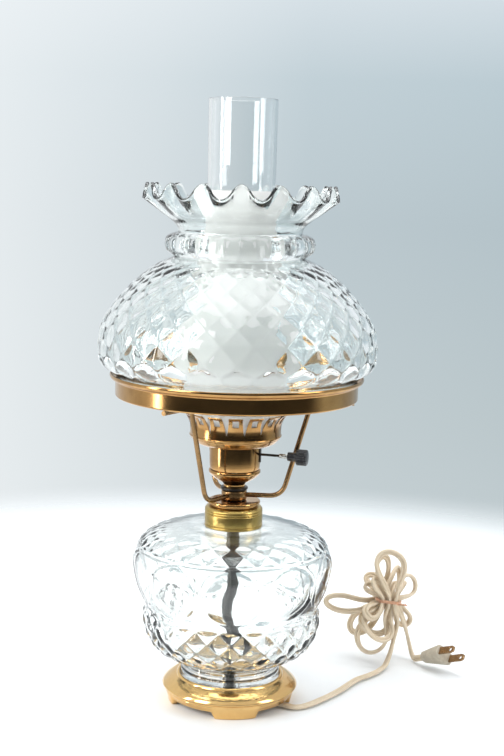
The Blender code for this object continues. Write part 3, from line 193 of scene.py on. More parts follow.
def alongFrames(path, firstSide):
    # a side direction for each point of a path, carried along without twist
    way = np.gradient(path, axis=0)
    way /= np.linalg.norm(way, axis=1)[:, None]
    side = np.zeros_like(path)
    current = np.array(firstSide, dtype=float)
    for k in range(len(path)):
        current = current - way[k] * current.dot(way[k])
        current /= np.linalg.norm(current)
        side[k] = current
    return way, side


def sweep(name, path, side, section, closed=False, sharpDegrees=50):
    # carries a flat section of (across, up) metres along a path
    way = np.gradient(path, axis=0) if not closed else np.roll(path, -1, 0) - np.roll(path, 1, 0)
    way /= np.linalg.norm(way, axis=1)[:, None]
    high = np.cross(side, way)
    sections = section if section.ndim == 3 else np.repeat(section[None], len(path), axis=0)
    verts = (path[:, None, :] + side[:, None, :] * sections[:, :, 0:1]
             + high[:, None, :] * sections[:, :, 1:2])
    count, edge = len(path), sections.shape[1]
    faces = []
    for row in range(count if closed else count - 1):
        nextRow = (row + 1) % count
        for k in range(edge):
            after = (k + 1) % edge
            faces.append((row * edge + k, row * edge + after, nextRow * edge + after, nextRow * edge + k))
    if not closed:
        faces.append(tuple(range(edge))[::-1])
        faces.append(tuple((count - 1) * edge + k for k in range(edge)))
    return repaired(meshObject(name, verts.reshape(-1, 3), faces, sharpDegrees), sharpDegrees)


def circle(radius, count=16):
    angles = np.arange(count) * 2 * math.pi / count
    return np.stack([np.cos(angles), np.sin(angles)], axis=1) * radius


# camera at the photograph's place
photo = {"height": 756, "focal": 1370.0, "centreShift": 15.1}
cameraPlace = {"back": 1.018, "height": 0.397, "downDegrees": 8.23, "rollDegrees": 1.4}


def addCamera():
    data = bpy.data.cameras.new("photoCamera")
    data.sensor_width = 36.0
    data.lens = photo["focal"] / photo["height"] * data.sensor_width
    data.shift_x = photo["centreShift"] / photo["height"]
    data.clip_start, data.clip_end = 0.05, 30.0
    obj = bpy.data.objects.new("photoCamera", data)
    bpy.context.scene.collection.objects.link(obj)
    tilt = Matrix.Rotation(math.radians(90 - cameraPlace["downDegrees"]), 4, "X")
    roll = Matrix.Rotation(math.radians(cameraPlace["rollDegrees"]), 4, "Z")
    spot = Matrix.Translation((0, -cameraPlace["back"], cameraPlace["height"]))
    obj.matrix_world = spot @ tilt @ roll
    bpy.context.scene.camera = obj


addCamera()
print("camera placed")


# colours that vary over a surface, shared by several finishes
def makeGroup(name, inputs, outputs):
    group = bpy.data.node_groups.new(name, "ShaderNodeTree")
    for label, kind, value in inputs:
        socket = group.interface.new_socket(label, in_out="INPUT", socket_type=kind)
        socket.default_value = value
    for label, kind in outputs:
        group.interface.new_socket(label, in_out="OUTPUT", socket_type=kind)
    return group, group.nodes.new("NodeGroupInput"), group.nodes.new("NodeGroupOutput")


def openSocket(sockets, label):
    # a Mix node has several sockets of each name, of which the open one counts
    return next(socket for socket in sockets if socket.name == label and socket.enabled)


def addNode(tree, kind, inputs=None, **settings):
    # one node; inputs are plain values or the sockets that feed them
    node = tree.nodes.new(kind)
    for label, value in settings.items():
        setattr(node, label, value)
    for label, value in (inputs or {}).items():
        socket = node.inputs[label] if isinstance(label, int) else openSocket(node.inputs, label)
        if isinstance(value, bpy.types.NodeSocket):
            tree.links.new(value, socket)
        else:
            socket.default_value = value
    return node


def ramp(tree, factor, stops):
    node = addNode(tree, "ShaderNodeValToRGB", {"Fac": factor})
    elements = node.color_ramp.elements
    while len(elements) < len(stops):
        elements.new(0.5)
    for element, (position, colour) in zip(elements, stops):
        element.position = position
        element.color = (*colour, 1.0)
    return node.outputs["Color"]


def greyRamp(tree, factor, stops):
    return ramp(tree, factor, [(position, (value, value, value)) for position, value in stops])


def noise(tree, spot, scale, detail, **more):
    inputs = {"Vector": spot, "Scale": scale, "Detail": detail, **more}
    return addNode(tree, "ShaderNodeTexNoise", inputs).outputs["Fac"]


def calculated(tree, operation, *values, **settings):
    node = addNode(tree, "ShaderNodeMath", dict(enumerate(values)), operation=operation, **settings)
    return node.outputs[0]


def mixed(tree, factor, first, second, kind="RGBA", **settings):
    inputs = {"Factor": factor, "A": first, "B": second}
    return openSocket(addNode(tree, "ShaderNodeMix", inputs, data_type=kind, **settings).outputs, "Result")


def scaled(tree, value, low, high):
    inputs = {"Value": value, "From Min": low, "From Max": high}
    return addNode(tree, "ShaderNodeMapRange", inputs).outputs["Result"]


def completed(group, made, **results):
    for label, socket in results.items():
        group.links.new(socket, made.inputs[label])
    return group


surface = [("Color", "NodeSocketColor"), ("Roughness", "NodeSocketFloat"), ("Height", "NodeSocketFloat")]


def makeHandledMetal():
    # tarnish in patches, darker in its cloudy spots, with fine rubbing marks
    group, given, made = makeGroup(
        "handledMetal",
        [("Clean", "NodeSocketColor", (0.8, 0.6, 0.3, 1)), ("Aged", "NodeSocketColor", (0.4, 0.26, 0.1, 1)),
         ("Age", "NodeSocketFloat", 0.4), ("Patch Scale", "NodeSocketFloat", 40.0),
         ("Polish", "NodeSocketFloat", 0.15), ("Dullness", "NodeSocketFloat", 0.35)], surface)
    spot = addNode(group, "ShaderNodeTexCoord").outputs["Object"]
    patches = noise(group, spot, given.outputs["Patch Scale"], 6.0, Roughness=0.62, Distortion=0.4)
    spread = greyRamp(group, patches, [(0.35, 0.0), (0.70, 1.0)])
    dots = greyRamp(group, noise(group, spot, 900.0, 3.0), [(0.58, 0.0), (0.74, 1.0)])
    amount = calculated(group, "MULTIPLY", spread, given.outputs["Age"])
    amount = calculated(group, "MULTIPLY_ADD", dots, 0.25, amount, use_clamp=True)
    colour = mixed(group, amount, given.outputs["Clean"], given.outputs["Aged"])
    rough = mixed(group, amount, given.outputs["Polish"], given.outputs["Dullness"], "FLOAT")
    stretched = addNode(group, "ShaderNodeMapping", {"Vector": spot, "Scale": (90.0, 90.0, 2600.0)})
    rubbed = noise(group, stretched.outputs["Vector"], 1.0, 4.0)
    height = calculated(group, "MULTIPLY_ADD", rubbed, 0.5, patches)
    return completed(group, made, Color=colour, Roughness=rough, Height=height)


def makeMouldedSkin():
    # vinyl and plastic: faint mottling, grime in patches and a fine grain
    group, given, made = makeGroup(
        "mouldedSkin",
        [("Fresh", "NodeSocketColor", (0.7, 0.6, 0.45, 1)),
         ("Soiled", "NodeSocketColor", (0.45, 0.36, 0.25, 1)),
         ("Soil", "NodeSocketFloat", 0.4), ("Patch Scale", "NodeSocketFloat", 60.0),
         ("Gloss", "NodeSocketFloat", 0.42), ("Matt", "NodeSocketFloat", 0.6)], surface)
    spot = addNode(group, "ShaderNodeTexCoord").outputs["Object"]
    patches = noise(group, spot, given.outputs["Patch Scale"], 5.0, Roughness=0.6)
    spread = greyRamp(group, patches, [(0.38, 0.0), (0.72, 1.0)])
    grain = noise(group, spot, 2400.0, 2.0)
    amount = calculated(group, "MULTIPLY", spread, given.outputs["Soil"])
    colour = mixed(group, amount, given.outputs["Fresh"], given.outputs["Soiled"])
    rough = mixed(group, patches, given.outputs["Gloss"], given.outputs["Matt"], "FLOAT")
    return completed(group, made, Color=colour, Roughness=rough, Height=grain)


def makePressedWaves():
    # the slow waves and small ripples that a mould leaves in glass
    group, given, made = makeGroup(
        "pressedWaves",
        [("Wave Scale", "NodeSocketFloat", 90.0), ("Ripple", "NodeSocketFloat", 0.3)],
        [("Height", "NodeSocketFloat")])
    spot = addNode(group, "ShaderNodeTexCoord").outputs["Object"]
    waves = noise(group, spot, given.outputs["Wave Scale"], 1.5)
    ripples = noise(group, spot, 420.0, 2.0)
    height = calculated(group, "MULTIPLY_ADD", ripples, given.outputs["Ripple"], waves)
    return completed(group, made, Height=height)


handledMetal = makeHandledMetal()
mouldedSkin = makeMouldedSkin()
pressedWaves = makePressedWaves()


def newMaterial(name):
    material = bpy.data.materials.new(name)
    material.use_nodes = True
    return material, material.node_tree, material.node_tree.nodes["Principled BSDF"]


def placeGroup(tree, group, values):
    node = tree.nodes.new("ShaderNodeGroup")
    node.node_tree = group
    for label, value in values.items():
        node.inputs[label].default_value = (*value, 1.0) if isinstance(value, tuple) else value
    return node


def bumpFrom(tree, shader, height, strength, distance):
    bump = addNode(tree, "ShaderNodeBump", {"Height": height, "Strength": strength, "Distance": distance})
    tree.links.new(bump.outputs["Normal"], shader.inputs["Normal"])


def metalFinish(name, clean, aged, age, polish, dullness, patchScale=40.0, relief=0.05):
    material, tree, shader = newMaterial(name)
    shader.inputs["Metallic"].default_value = 1.0
    wear = placeGroup(tree, handledMetal, {"Clean": clean, "Aged": aged, "Age": age, "Polish": polish,
                                           "Dullness": dullness, "Patch Scale": patchScale})
    tree.links.new(wear.outputs["Color"], shader.inputs["Base Color"])
    tree.links.new(wear.outputs["Roughness"], shader.inputs["Roughness"])
    bumpFrom(tree, shader, wear.outputs["Height"], relief, 0.0004)
    return material


def plasticFinish(name, fresh, soiled, soil, gloss, matt, patchScale=60.0, relief=0.1):
    material, tree, shader = newMaterial(name)
    skin = placeGroup(tree, mouldedSkin, {"Fresh": fresh, "Soiled": soiled, "Soil": soil, "Gloss": gloss,
                                          "Matt": matt, "Patch Scale": patchScale})
    tree.links.new(skin.outputs["Color"], shader.inputs["Base Color"])
    tree.links.new(skin.outputs["Roughness"], shader.inputs["Roughness"])
    bumpFrom(tree, shader, skin.outputs["Height"], relief, 0.0002)
    return material


def glassFinish(name, tint, roughness, waveScale, relief):
    material, tree, shader = newMaterial(name)
    shader.inputs["Base Color"].default_value = (*tint, 1.0)
    shader.inputs["Roughness"].default_value = roughness
    shader.inputs["IOR"].default_value = 1.5
    shader.inputs["Transmission Weight"].default_value = 1.0
    waves = placeGroup(tree, pressedWaves, {"Wave Scale": waveScale})
    bumpFrom(tree, shader, waves.outputs["Height"], relief, 0.001)
    return material


def frostedFinish(name, colour, warmColour, transmission, roughness):
    material, tree, shader = newMaterial(name)
    shader.inputs["Roughness"].default_value = roughness
    shader.inputs["IOR"].default_value = 1.45
    shader.inputs["Transmission Weight"].default_value = transmission
    skin = placeGroup(tree, mouldedSkin, {"Fresh": colour, "Soiled": warmColour, "Soil": 0.35,
                                          "Patch Scale": 24.0})
    tree.links.new(skin.outputs["Color"], shader.inputs["Base Color"])
    bumpFrom(tree, shader, skin.outputs["Height"], 0.15, 0.0002)
    return material


polishedBrass = metalFinish("polishedBrass", (0.80, 0.53, 0.22), (0.52, 0.29, 0.10), 0.45, 0.10, 0.22, 30.0,
                            0.03)
agedBrass = metalFinish("agedBrass", (0.50, 0.29, 0.11), (0.25, 0.12, 0.04), 0.65, 0.12, 0.26)
collarBrass = metalFinish("collarBrass", (0.50, 0.36, 0.12), (0.30, 0.20, 0.05), 0.6, 0.26, 0.42, 70.0)
bronzeDark = metalFinish("bronzeDark", (0.34, 0.20, 0.085), (0.10, 0.07, 0.04), 0.6, 0.20, 0.40)
brightBrass = metalFinish("brightBrass", (0.85, 0.66, 0.32), (0.60, 0.42, 0.18), 0.3, 0.2, 0.35)
darkMetal = metalFinish("darkMetal", (0.05, 0.045, 0.04), (0.02, 0.018, 0.016), 0.5, 0.30, 0.5)
zincSteel = metalFinish("zincSteel", (0.56, 0.56, 0.54), (0.36, 0.35, 0.33), 0.45, 0.25, 0.45)
pipeSteel = metalFinish("pipeSteel", (0.10, 0.098, 0.095), (0.05, 0.048, 0.045), 0.5, 0.35, 0.55)
bladeBrass = metalFinish("bladeBrass", (0.42, 0.27, 0.14), (0.16, 0.10, 0.05), 0.7, 0.22, 0.45, 220.0, 0.15)
blackPlastic = plasticFinish("blackPlastic", (0.010, 0.010, 0.012), (0.025, 0.025, 0.027), 0.3, 0.18, 0.34)
fibreLiner = plasticFinish("fibreLiner", (0.20, 0.17, 0.13), (0.12, 0.10, 0.08), 0.5, 0.85, 0.95)
flexBeige = plasticFinish("flexBeige", (0.74, 0.62, 0.46), (0.50, 0.38, 0.24), 0.40, 0.38, 0.58)
plugBeige = plasticFinish("plugBeige", (0.52, 0.46, 0.36), (0.30, 0.25, 0.18), 0.6, 0.45, 0.65, 180.0, 0.2)
tieCopper = plasticFinish("tieCopper", (0.72, 0.40, 0.25), (0.50, 0.24, 0.13), 0.5, 0.35, 0.5, 400.0)
fontClear = glassFinish("fontClear", (0.965, 0.985, 0.975), 0.0, 60.0, 0.12)
shadeClear = glassFinish("shadeClear", (0.955, 0.985, 0.975), 0.0, 80.0, 0.10)
chimneyClear = glassFinish("chimneyClear", (0.985, 0.992, 0.992), 0.0, 30.0, 0.02)
chimneyFrost = frostedFinish("chimneyFrost", (0.97, 0.965, 0.945), (0.93, 0.92, 0.90), 0.22, 0.5)
bulbFrost = frostedFinish("bulbFrost", (0.92, 0.91, 0.89), (0.86, 0.84, 0.80), 0.4, 0.55)
print("finishes made")


# the flex: one flat twin cord from the base, through its tied bundle, to the plug
flex = {"width": 5.4, "thickness": 2.8, "webHalf": 0.5, "exitDegrees": -27.0, "exitRadius": 50.0,
        "floorBend": 6.8, "fit": 0.3, "pathStep": 1.25,
        "leadRoute": [(54.0, -24.4), (61.9, -18.6), (70.0, -9.7), (78.3, 0.2), (87.0, 12.3), (95.4, 26.0),
                      (102.5, 36.8), (112.5, 46.5), (119.6, 54.6)],
        "leadEnd": (124.0, 61.8), "leadEndDegrees": 60.0,
        "riseRoute": [(130.6, 74.5, 4.4), (134.2, 80.5, 13.0), (136.5, 84.0, 27.0)],
        "fallRoute": [(142.4, 90.5, 40.5)], "fallEnd": (147.0, 92.5, 27.0), "fallEndWay": (0.27, 0.08, -0.96),
        "tailRoute": [(150.9, 93.4, 12.6), (152.5, 92.2, 6.6), (154.0, 89.0, 3.4)]}
bundle = {"centre": (131.0, 92.0, 53.0), "leanDegrees": 6.0, "tieRadius": 0.7, "strandStep": 5.1,
          "strandHalf": 3.0, "strandGap": 1.25, "root": 0.67, "sideRoot": 2.0, "passes": 220, "ringPoints": 24,
          "strands": [(1, -1.8), (0, -1.8), (-0.5, 0.9), (-1, 1.8), (0, 1.8), (-1.5, 0.9), (-1, 0),
                      (-1.5, -0.9), (-1, -1.8), (-0.5, -0.9), (0.5, -0.9), (0, 0), (0.5, 0.9), (1.5, 0.9),
                      (1, 0), (1.5, -0.9)],
          # each bight: its tip from the tie (across, back, up), half width, turn in degrees, fuller side
          "bights": [((-12, -4, 41), 13, 8, 0.35), ((-14, -6, -48), 14, 25, 0.0), ((-8, 9, 36), 8, 30, 0.0),
                     ((-27, 10, -37), 9, 20, 0.0), ((-21, 17, 13), 6, 30, 0.0), ((-55, 2, -9), 7, 5, 0.0),
                     ((-24, -2, 8), 6, 40, 0.0), ((-22, -19, -10), 7, 20, 0.0), ((-17, -10, 19), 6, 40, 0.0),
                     ((-10, -22, -29), 15, -10, 0.0), ((9, 22, 22), 8, 30, 0.0), ((-14, -2, -30), 14, 10, 0.0),
                     ((12, 24, 8), 7, 60, 0.0), ((22, 8, -24), 8, 10, 0.0), ((22, 6, 17), 12, 10, 0.0)],
          "shape": [(0.26, 0.50), (0.56, 1.0), (0.85, 0.74), (1.0, 0.0), (0.85, -0.74), (0.56, -1.0),
                    (0.26, -0.50)]}
plug = {"face": (176.0, 62.5, 15.5), "headingDegrees": -48.0, "riseDegrees": 21.0, "rollDegrees": -43.0,
        "length": 24.0, "width": 20.0, "thickness": 12.0, "tailWidth": 9.0, "bladeSpacing": 12.7,
        "bladeLength": 15.9, "bladeWidth": 6.35, "bladeThickness": 1.5, "bladeRoot": 4.0,
        "holeRadius": 1.6, "holeFromTip": 3.9}
cordRadius = (flex["width"] + flex["thickness"]) / 4 * mm
fit = flex["fit"] * mm
tieMiddle = np.array(bundle["centre"]) * mm


def tieFrame():
    lean = math.radians(bundle["leanDegrees"])
    along = np.array([math.sin(lean), 0.0, math.cos(lean)])
    back = np.array([0.0, 1.0, 0.0])
    return np.stack([np.cross(back, along), back, along])


def strandPlace(index, level):
    across, back, along = tieFrame()
    x, y = bundle["strands"][index]
    return tieMiddle + (across * x + back * y) * bundle["strandStep"] * mm + along * level


def bightPoints(index):
    tip, width, turn, fuller = bundle["bights"][index]
    axes = tieFrame()
    back, along = axes[1:]
    half = bundle["strandHalf"] * mm
    way = along if index % 2 == 0 else -along
    level = half if index % 2 == 0 else -half
    first, second = strandPlace(index, level), strandPlace(index + 1, level)
    end = tieMiddle + np.array(tip) @ axes * mm
    middle = (first + second) / 2
    sideways = 1 - abs((end - middle).dot(along)) / np.linalg.norm(end - middle)
    root = middle + way * (bundle["root"] + bundle["sideRoot"] * sideways) * half
    reach = np.linalg.norm(end - root)
    ahead = (end - root) / reach
    flat = np.cross(back, ahead)
    flat /= np.linalg.norm(flat)
    angle = math.radians(turn)
    side = flat * math.cos(angle) + np.cross(ahead, flat) * math.sin(angle)
    if (first - second).dot(side) < 0:
        side = -side
    return [root + ahead * reach * far + side * width * mm * (wide + fuller * abs(wide))
            for far, wide in bundle["shape"]]


def tieRing(reach, count):
    # the tie's line, drawn tight round the strands
    across, back = tieFrame()[:2]
    ring = []
    for k in range(count):
        angle = 2 * math.pi * k / count
        x, y = math.cos(angle), math.sin(angle)
        outermost = max(bundle["strands"], key=lambda spot: spot[0] * x + spot[1] * y)
        ring.append(tieMiddle + across * (outermost[0] * bundle["strandStep"] * mm + x * reach)
                    + back * (outermost[1] * bundle["strandStep"] * mm + y * reach))
    return np.array(ring)


def pushed(line, others, least, counted):
    offset = line[:, None, :] - others[None, :, :]
    distance = np.linalg.norm(offset, axis=2) + 1e-9
    lack = np.where(counted, np.clip(least - distance, 0.0, None), 0.0)
    return (offset / distance[:, :, None] * lack[:, :, None]).sum(axis=1)


def eased(line, pinned):
    # moves apart the strands that lie too close, and rounds the bends
    line = line.copy()
    count, passes = len(line), bundle["passes"]
    least = 2 * cordRadius + bundle["strandGap"] * mm
    near = int(math.ceil(1.8 * least * (count - 1) / lengthOf(line)))
    apart = np.abs(np.subtract.outer(np.arange(count), np.arange(count))) > near
    tie = tieRing(cordRadius + bundle["tieRadius"] * mm + 3 * fit, bundle["ringPoints"])
    tieLeast = cordRadius + bundle["tieRadius"] * mm + 2 * fit
    for step in range(passes):
        push = pushed(line, line, least, apart) + pushed(line, tie, tieLeast, True)
        even = np.zeros_like(line)
        even[1:-1] = (line[:-2] + line[2:]) / 2 - line[1:-1]
        kink = np.zeros_like(line)
        kink[1:-1] = (even[:-2] + even[2:]) / 2 - even[1:-1]
        soft = 0.28 * max(0.06, 1 - step / (0.8 * passes))
        line += np.where(pinned[:, None], 0.0, 0.35 * push + soft * (0.25 * even - 0.9 * kink))
        line[:, 2] = np.maximum(line[:, 2], cordRadius + fit)
    return line


def bundleLine(start, startWay, end, endWay):
    straight = 2.4 * cordRadius
    half = bundle["strandHalf"] * mm
    guide = [start, start + startWay * straight] + [np.array(p) * mm for p in flex["riseRoute"]]
    for k in range(len(bundle["strands"])):
        rise = half if k % 2 == 0 else -half
        guide += [strandPlace(k, -rise), strandPlace(k, 0.0), strandPlace(k, rise)]
        if k < len(bundle["bights"]):
            guide += bightPoints(k)
    guide += [np.array(p) * mm for p in flex["fallRoute"]] + [end - endWay * straight, end]
    rough = smoothLine(guide, 8)
    line = evenly(rough, int(lengthOf(rough) / (1.2 * cordRadius)))
    along = tieFrame()[2]
    offset = line - tieMiddle
    level = offset @ along
    beside = np.linalg.norm(offset - np.outer(level, along), axis=1)
    pinned = (np.abs(level) < 0.7 * half) & (beside < 2.3 * bundle["strandStep"] * mm)
    pinned[:4] = True
    pinned[-4:] = True
    return eased(line, pinned)


def plugAxis():
    heading, rise = math.radians(plug["headingDegrees"]), math.radians(plug["riseDegrees"])
    way = np.array([math.cos(heading) * math.cos(rise), math.sin(heading) * math.cos(rise), math.sin(rise)])
    return way, np.array(plug["face"]) * mm - way * plug["length"] * mm


def flexPath():
    # the middle line of the flex, from the base to the plug
    floor = cordRadius + fit
    straight = 2.2 * cordRadius
    exitAngle = math.radians(flex["exitDegrees"])
    exitWay = np.array([math.cos(exitAngle), math.sin(exitAngle), 0.0])
    leave = exitWay * (flex["exitRadius"] + flex["fit"]) * mm + up * floor
    leadEnd = np.array([*flex["leadEnd"], 0.0]) * mm + up * floor
    turn = math.radians(flex["leadEndDegrees"])
    leadWay = np.array([math.cos(turn), math.sin(turn), 0.0])
    onTable = [np.array([x * mm, y * mm, floor]) for x, y in flex["leadRoute"]]
    lead = smoothLine([leave, leave + exitWay * straight] + onTable
                      + [leadEnd - leadWay * straight, leadEnd], 6)
    fallEnd, fallWay = np.array(flex["fallEnd"]) * mm, np.array(flex["fallEndWay"])
    middle = bundleLine(leadEnd + leadWay * fit, leadWay, fallEnd, fallWay)
    plugWay, plugBack = plugAxis()
    tailStart = fallEnd + fallWay * fit
    tail = smoothLine([tailStart, tailStart + fallWay * straight]
                      + [np.array(p) * mm for p in flex["tailRoute"]]
                      + [plugBack - plugWay * (fit + 2 * straight), plugBack - plugWay * (fit + straight),
                         plugBack - plugWay * fit], 6)
    whole = np.vstack([lead[:-1], smoothLine(middle, 3), tail[1:]])
    return evenly(whole, int(lengthOf(whole) / (flex["pathStep"] * mm)))


def twinSection(width, thickness, webHalf, perLobe=9):
    # two round lobes with a groove between them
    lobe = thickness / 2
    centre = width / 2 - lobe
    sweepAngle = math.radians(118)
    right = [(centre + lobe * math.cos(a), lobe * math.sin(a))
             for a in np.linspace(-sweepAngle, sweepAngle, perLobe)]
    left = [(-x, -y) for x, y in right]
    return np.array(right + [(0.0, webHalf)] + left + [(0.0, -webHalf)]) * mm


def turnedSides(path, side):
    # turns the flat flex gently where its wide way would meet a neighbour
    way = np.gradient(path, axis=0)
    way /= np.linalg.norm(way, axis=1)[:, None]
    count = len(path)
    offset = path[None, :, :] - path[:, None, :]
    distance = np.linalg.norm(offset, axis=2) + 1e-9
    far = np.abs(np.subtract.outer(np.arange(count), np.arange(count))) > int(12 / flex["pathStep"])
    pull = np.where(far, np.clip(1 - (distance - 4 * mm) / (3.5 * mm), 0, 1), 0.0)
    row, column = np.nonzero(pull)
    towards = offset[row, column] / distance[row, column][:, None]
    strength = pull[row, column]
    other = np.cross(way, side)
    angle = np.zeros(count)
    for _ in range(160):
        wide = side * np.cos(angle)[:, None] + other * np.sin(angle)[:, None]
        narrow = -side * np.sin(angle)[:, None] + other * np.cos(angle)[:, None]
        turn = (towards * wide[row]).sum(axis=1) * (towards * narrow[row]).sum(axis=1) * strength
        angle -= 0.10 * np.clip(np.bincount(row, turn, count), -1, 1)
        for _ in range(6):
            angle[1:-1] = 0.5 * angle[1:-1] + 0.25 * (angle[:-2] + angle[2:])
        angle[:30] *= 0.5
    return side * np.cos(angle)[:, None] + other * np.sin(angle)[:, None]


def makeFlex():
    path = flexPath()
    exitAngle = math.radians(flex["exitDegrees"])
    level = (-math.sin(exitAngle), math.cos(exitAngle), 0.0)
    side = turnedSides(path, alongFrames(path, level)[1])
    obj = sweep("flexCord", path, side, twinSection(flex["width"], flex["thickness"], flex["webHalf"]))
    place(obj, flexBeige, "lamp", "flex_beige", "cord_lead", "cord_hank", "plug_lead")

    # inside the lamp the flex drops through the pipe and turns out under the base
    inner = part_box("inner_cord")
    floor = cordRadius + fit
    bend = flex["floorBend"] * mm
    top = inner[1].z
    reach = [(0.0, top), (0.0, (top + floor) / 2)]
    reach += [(bend - bend * math.cos(a), floor + bend - bend * math.sin(a))
              for a in np.linspace(0, math.pi / 2, 9)]
    reach += [(0.5 * (bend + flex["exitRadius"] * mm), floor), (flex["exitRadius"] * mm, floor)]
    line = np.array([(r * math.cos(exitAngle), r * math.sin(exitAngle), z) for r, z in reach])
    inside = sweep("innerFlex", line, alongFrames(line, level)[1],
                   twinSection(flex["width"], flex["thickness"], flex["webHalf"]))
    place(inside, flexBeige, "lamp", "flex_beige", "inner_cord")
    return obj, path


tie = {"width": 1.5, "thickness": 0.8, "slack": 0.75, "lift": 0.85, "points": 120,
       "endWay": (0.70, -0.62, 0.18), "endLength": 9.0, "endWidth": 0.75,
       "startShare": 0.88, "endHalfTurns": 5, "endRadius": 0.42}


def makeTie():
    # two wraps side by side, and the two ends twisted together
    reach = cordRadius + tie["slack"] * mm
    lift = tie["lift"] * mm
    ring = tieRing(reach, tie["points"])
    along = tieFrame()[2]
    start = int(tie["startShare"] * tie["points"])
    twice = np.vstack([np.roll(ring, -start, 0), np.roll(ring, -start, 0), np.roll(ring, -start, 0)[:1]])
    line = twice + along * np.linspace(-lift, lift, len(twice))[:, None]
    half, thin = tie["width"] / 2 * mm, tie["thickness"] / 2 * mm
    section = np.array([(half, -0.6 * thin), (half, 0.6 * thin), (0.8 * half, thin), (-0.8 * half, thin),
                        (-half, 0.6 * thin), (-half, -0.6 * thin), (-0.8 * half, -thin), (0.8 * half, -thin)])
    course = smoothLine(line[::3], 3)
    band = sweep("tieBand", course, np.repeat(along[None], len(course), axis=0), section)
    place(band, tieCopper, "lamp", "tie_copper", "cord_tie")
    root = line[0]
    way = np.array(tie["endWay"]) / np.linalg.norm(tie["endWay"])
    first = np.cross(way, up)
    first /= np.linalg.norm(first)
    second = np.cross(way, first)
    for index in range(2):
        turns = np.linspace(0, 1, 60)
        angle = math.pi * index + turns * tie["endHalfTurns"] * math.pi
        spread = tie["endWidth"] * mm * (0.55 + 0.9 * np.clip(turns - 0.8, 0, 1) * 5)
        spine = (root[None] + way * (turns * tie["endLength"] * mm)[:, None]
                 + first * (spread * np.cos(angle))[:, None] + second * (spread * np.sin(angle))[:, None])
        end = sweep("tieEnd%d" % index, spine, alongFrames(spine, first)[1], circle(tie["endRadius"] * mm,
                                                                                    10))
        place(end, tieCopper, "lamp", "tie_copper")


def plugFrame():
    heading = math.radians(plug["headingDegrees"])
    faceWay = Vector(plugAxis()[0])
    spread = Matrix.Rotation(math.radians(plug["rollDegrees"]), 3, faceWay) @ Vector(
        (-math.sin(heading), math.cos(heading), 0.0))
    axes = Matrix((spread, faceWay.cross(spread), faceWay)).transposed().to_4x4()
    return Matrix.Translation(Vector(plug["face"]) * mm) @ axes


def makePlug():
    length, tail = plug["length"], plug["tailWidth"]
    rows, edge = 61, 56
    angles = np.arange(edge) * 2 * math.pi / edge
    verts = []
    for level in np.linspace(-length, 0, rows):
        share = (level + length) / length
        wide = tail / 2 + (plug["width"] - tail) / 2 * share
        deep = 0.4 * tail + (plug["thickness"] / 2 - 0.4 * tail) * share
        ends = min(level + length, -level)
        pinch = 1.3 * (1 - math.sqrt(1 - (1 - min(ends / 1.6, 1.0)) ** 2))
        for angle in angles:
            # a rounded oblong, with grip ribs across its flat sides
            c, s = math.cos(angle), math.sin(angle)
            power = 0.55
            x = math.copysign(abs(c) ** power, c) * (wide - pinch)
            y = math.copysign(abs(s) ** power, s) * (deep - pinch)
            if 0.16 < share < 0.74:
                y -= math.copysign(0.32 * max(0.0, math.cos(share * length * 2 * math.pi / 2.2)),
                                   s) * abs(s) ** 2
            verts.append((x * mm, y * mm, level * mm))
    faces = [(row * edge + k, row * edge + (k + 1) % edge, (row + 1) * edge + (k + 1) % edge,
              (row + 1) * edge + k) for row in range(rows - 1) for k in range(edge)]
    faces += [tuple(range(edge))[::-1], tuple((rows - 1) * edge + k for k in range(edge))]
    body = meshObject("plugBody", verts, faces, 60)
    body.matrix_world = plugFrame()
    place(body, plugBeige, "lamp", "plug_beige", "plug_body")

    blades = []
    for name, node, side in (("upperBlade", "plug_blade_upper", -1), ("lowerBlade", "plug_blade_lower", 1)):
        data = bpy.data.curves.new(name, "CURVE")
        data.dimensions = "2D"
        data.fill_mode = "BOTH"
        half, tip = plug["bladeWidth"] / 2, plug["bladeLength"]
        outline = [(-half, -plug["bladeRoot"]), (half, -plug["bladeRoot"]), (half, tip - 2.6),
                   (0.62 * half, tip), (-0.62 * half, tip), (-half, tip - 2.6)]
        hole = [(plug["holeRadius"] * math.cos(a), tip - plug["holeFromTip"] + plug["holeRadius"] * math.sin(a))
                for a in np.arange(24) * math.pi / 12]
        for points in (softened(outline, 0.8, 4, closed=True), hole):
            spline = data.splines.new("POLY")
            spline.points.add(len(points) - 1)
            for point, (x, y) in zip(spline.points, points):
                point.co = (x * mm, y * mm, 0, 1)
            spline.use_cyclic_u = True
        data.extrude = (plug["bladeThickness"] / 2 - 0.15) * mm
        data.bevel_depth = 0.15 * mm
        data.offset = -0.15 * mm
        data.bevel_resolution = 1
        curve = bpy.data.objects.new(name + "Curve", data)
        bpy.context.scene.collection.objects.link(curve)
        bpy.context.view_layer.update()
        mesh = bpy.data.meshes.new_from_object(curve.evaluated_get(bpy.context.evaluated_depsgraph_get()))
        bpy.data.objects.remove(curve)
        smoothed(mesh)
        blade = bpy.data.objects.new(name, mesh)
        upright = Matrix(((0, 0, 1, 0), (1, 0, 0, 0), (0, 1, 0, 0), (0, 0, 0, 1)))
        middle = side * plug["bladeSpacing"] / 2 * mm
        blade.matrix_world = plugFrame() @ Matrix.Translation((middle, 0, 0)) @ upright
        place(blade, bladeBrass, "lamp", "blade_brass", node)
        blades.append(blade)
    return body, blades


flexObject, flexLine = makeFlex()
plugBody, plugBlades = makePlug()
makeTie()
print("flex made, %.3f m" % lengthOf(flexLine))


# reliefs of the pressed glass
def conformal(line):
    # how far along each point of a profile lies, measured in its own radius
    steps = np.linalg.norm(np.diff(line, axis=0), axis=1) / ((line[:-1, 0] + line[1:, 0]) / 2)
    return np.concatenate([[0.0], np.cumsum(steps)])


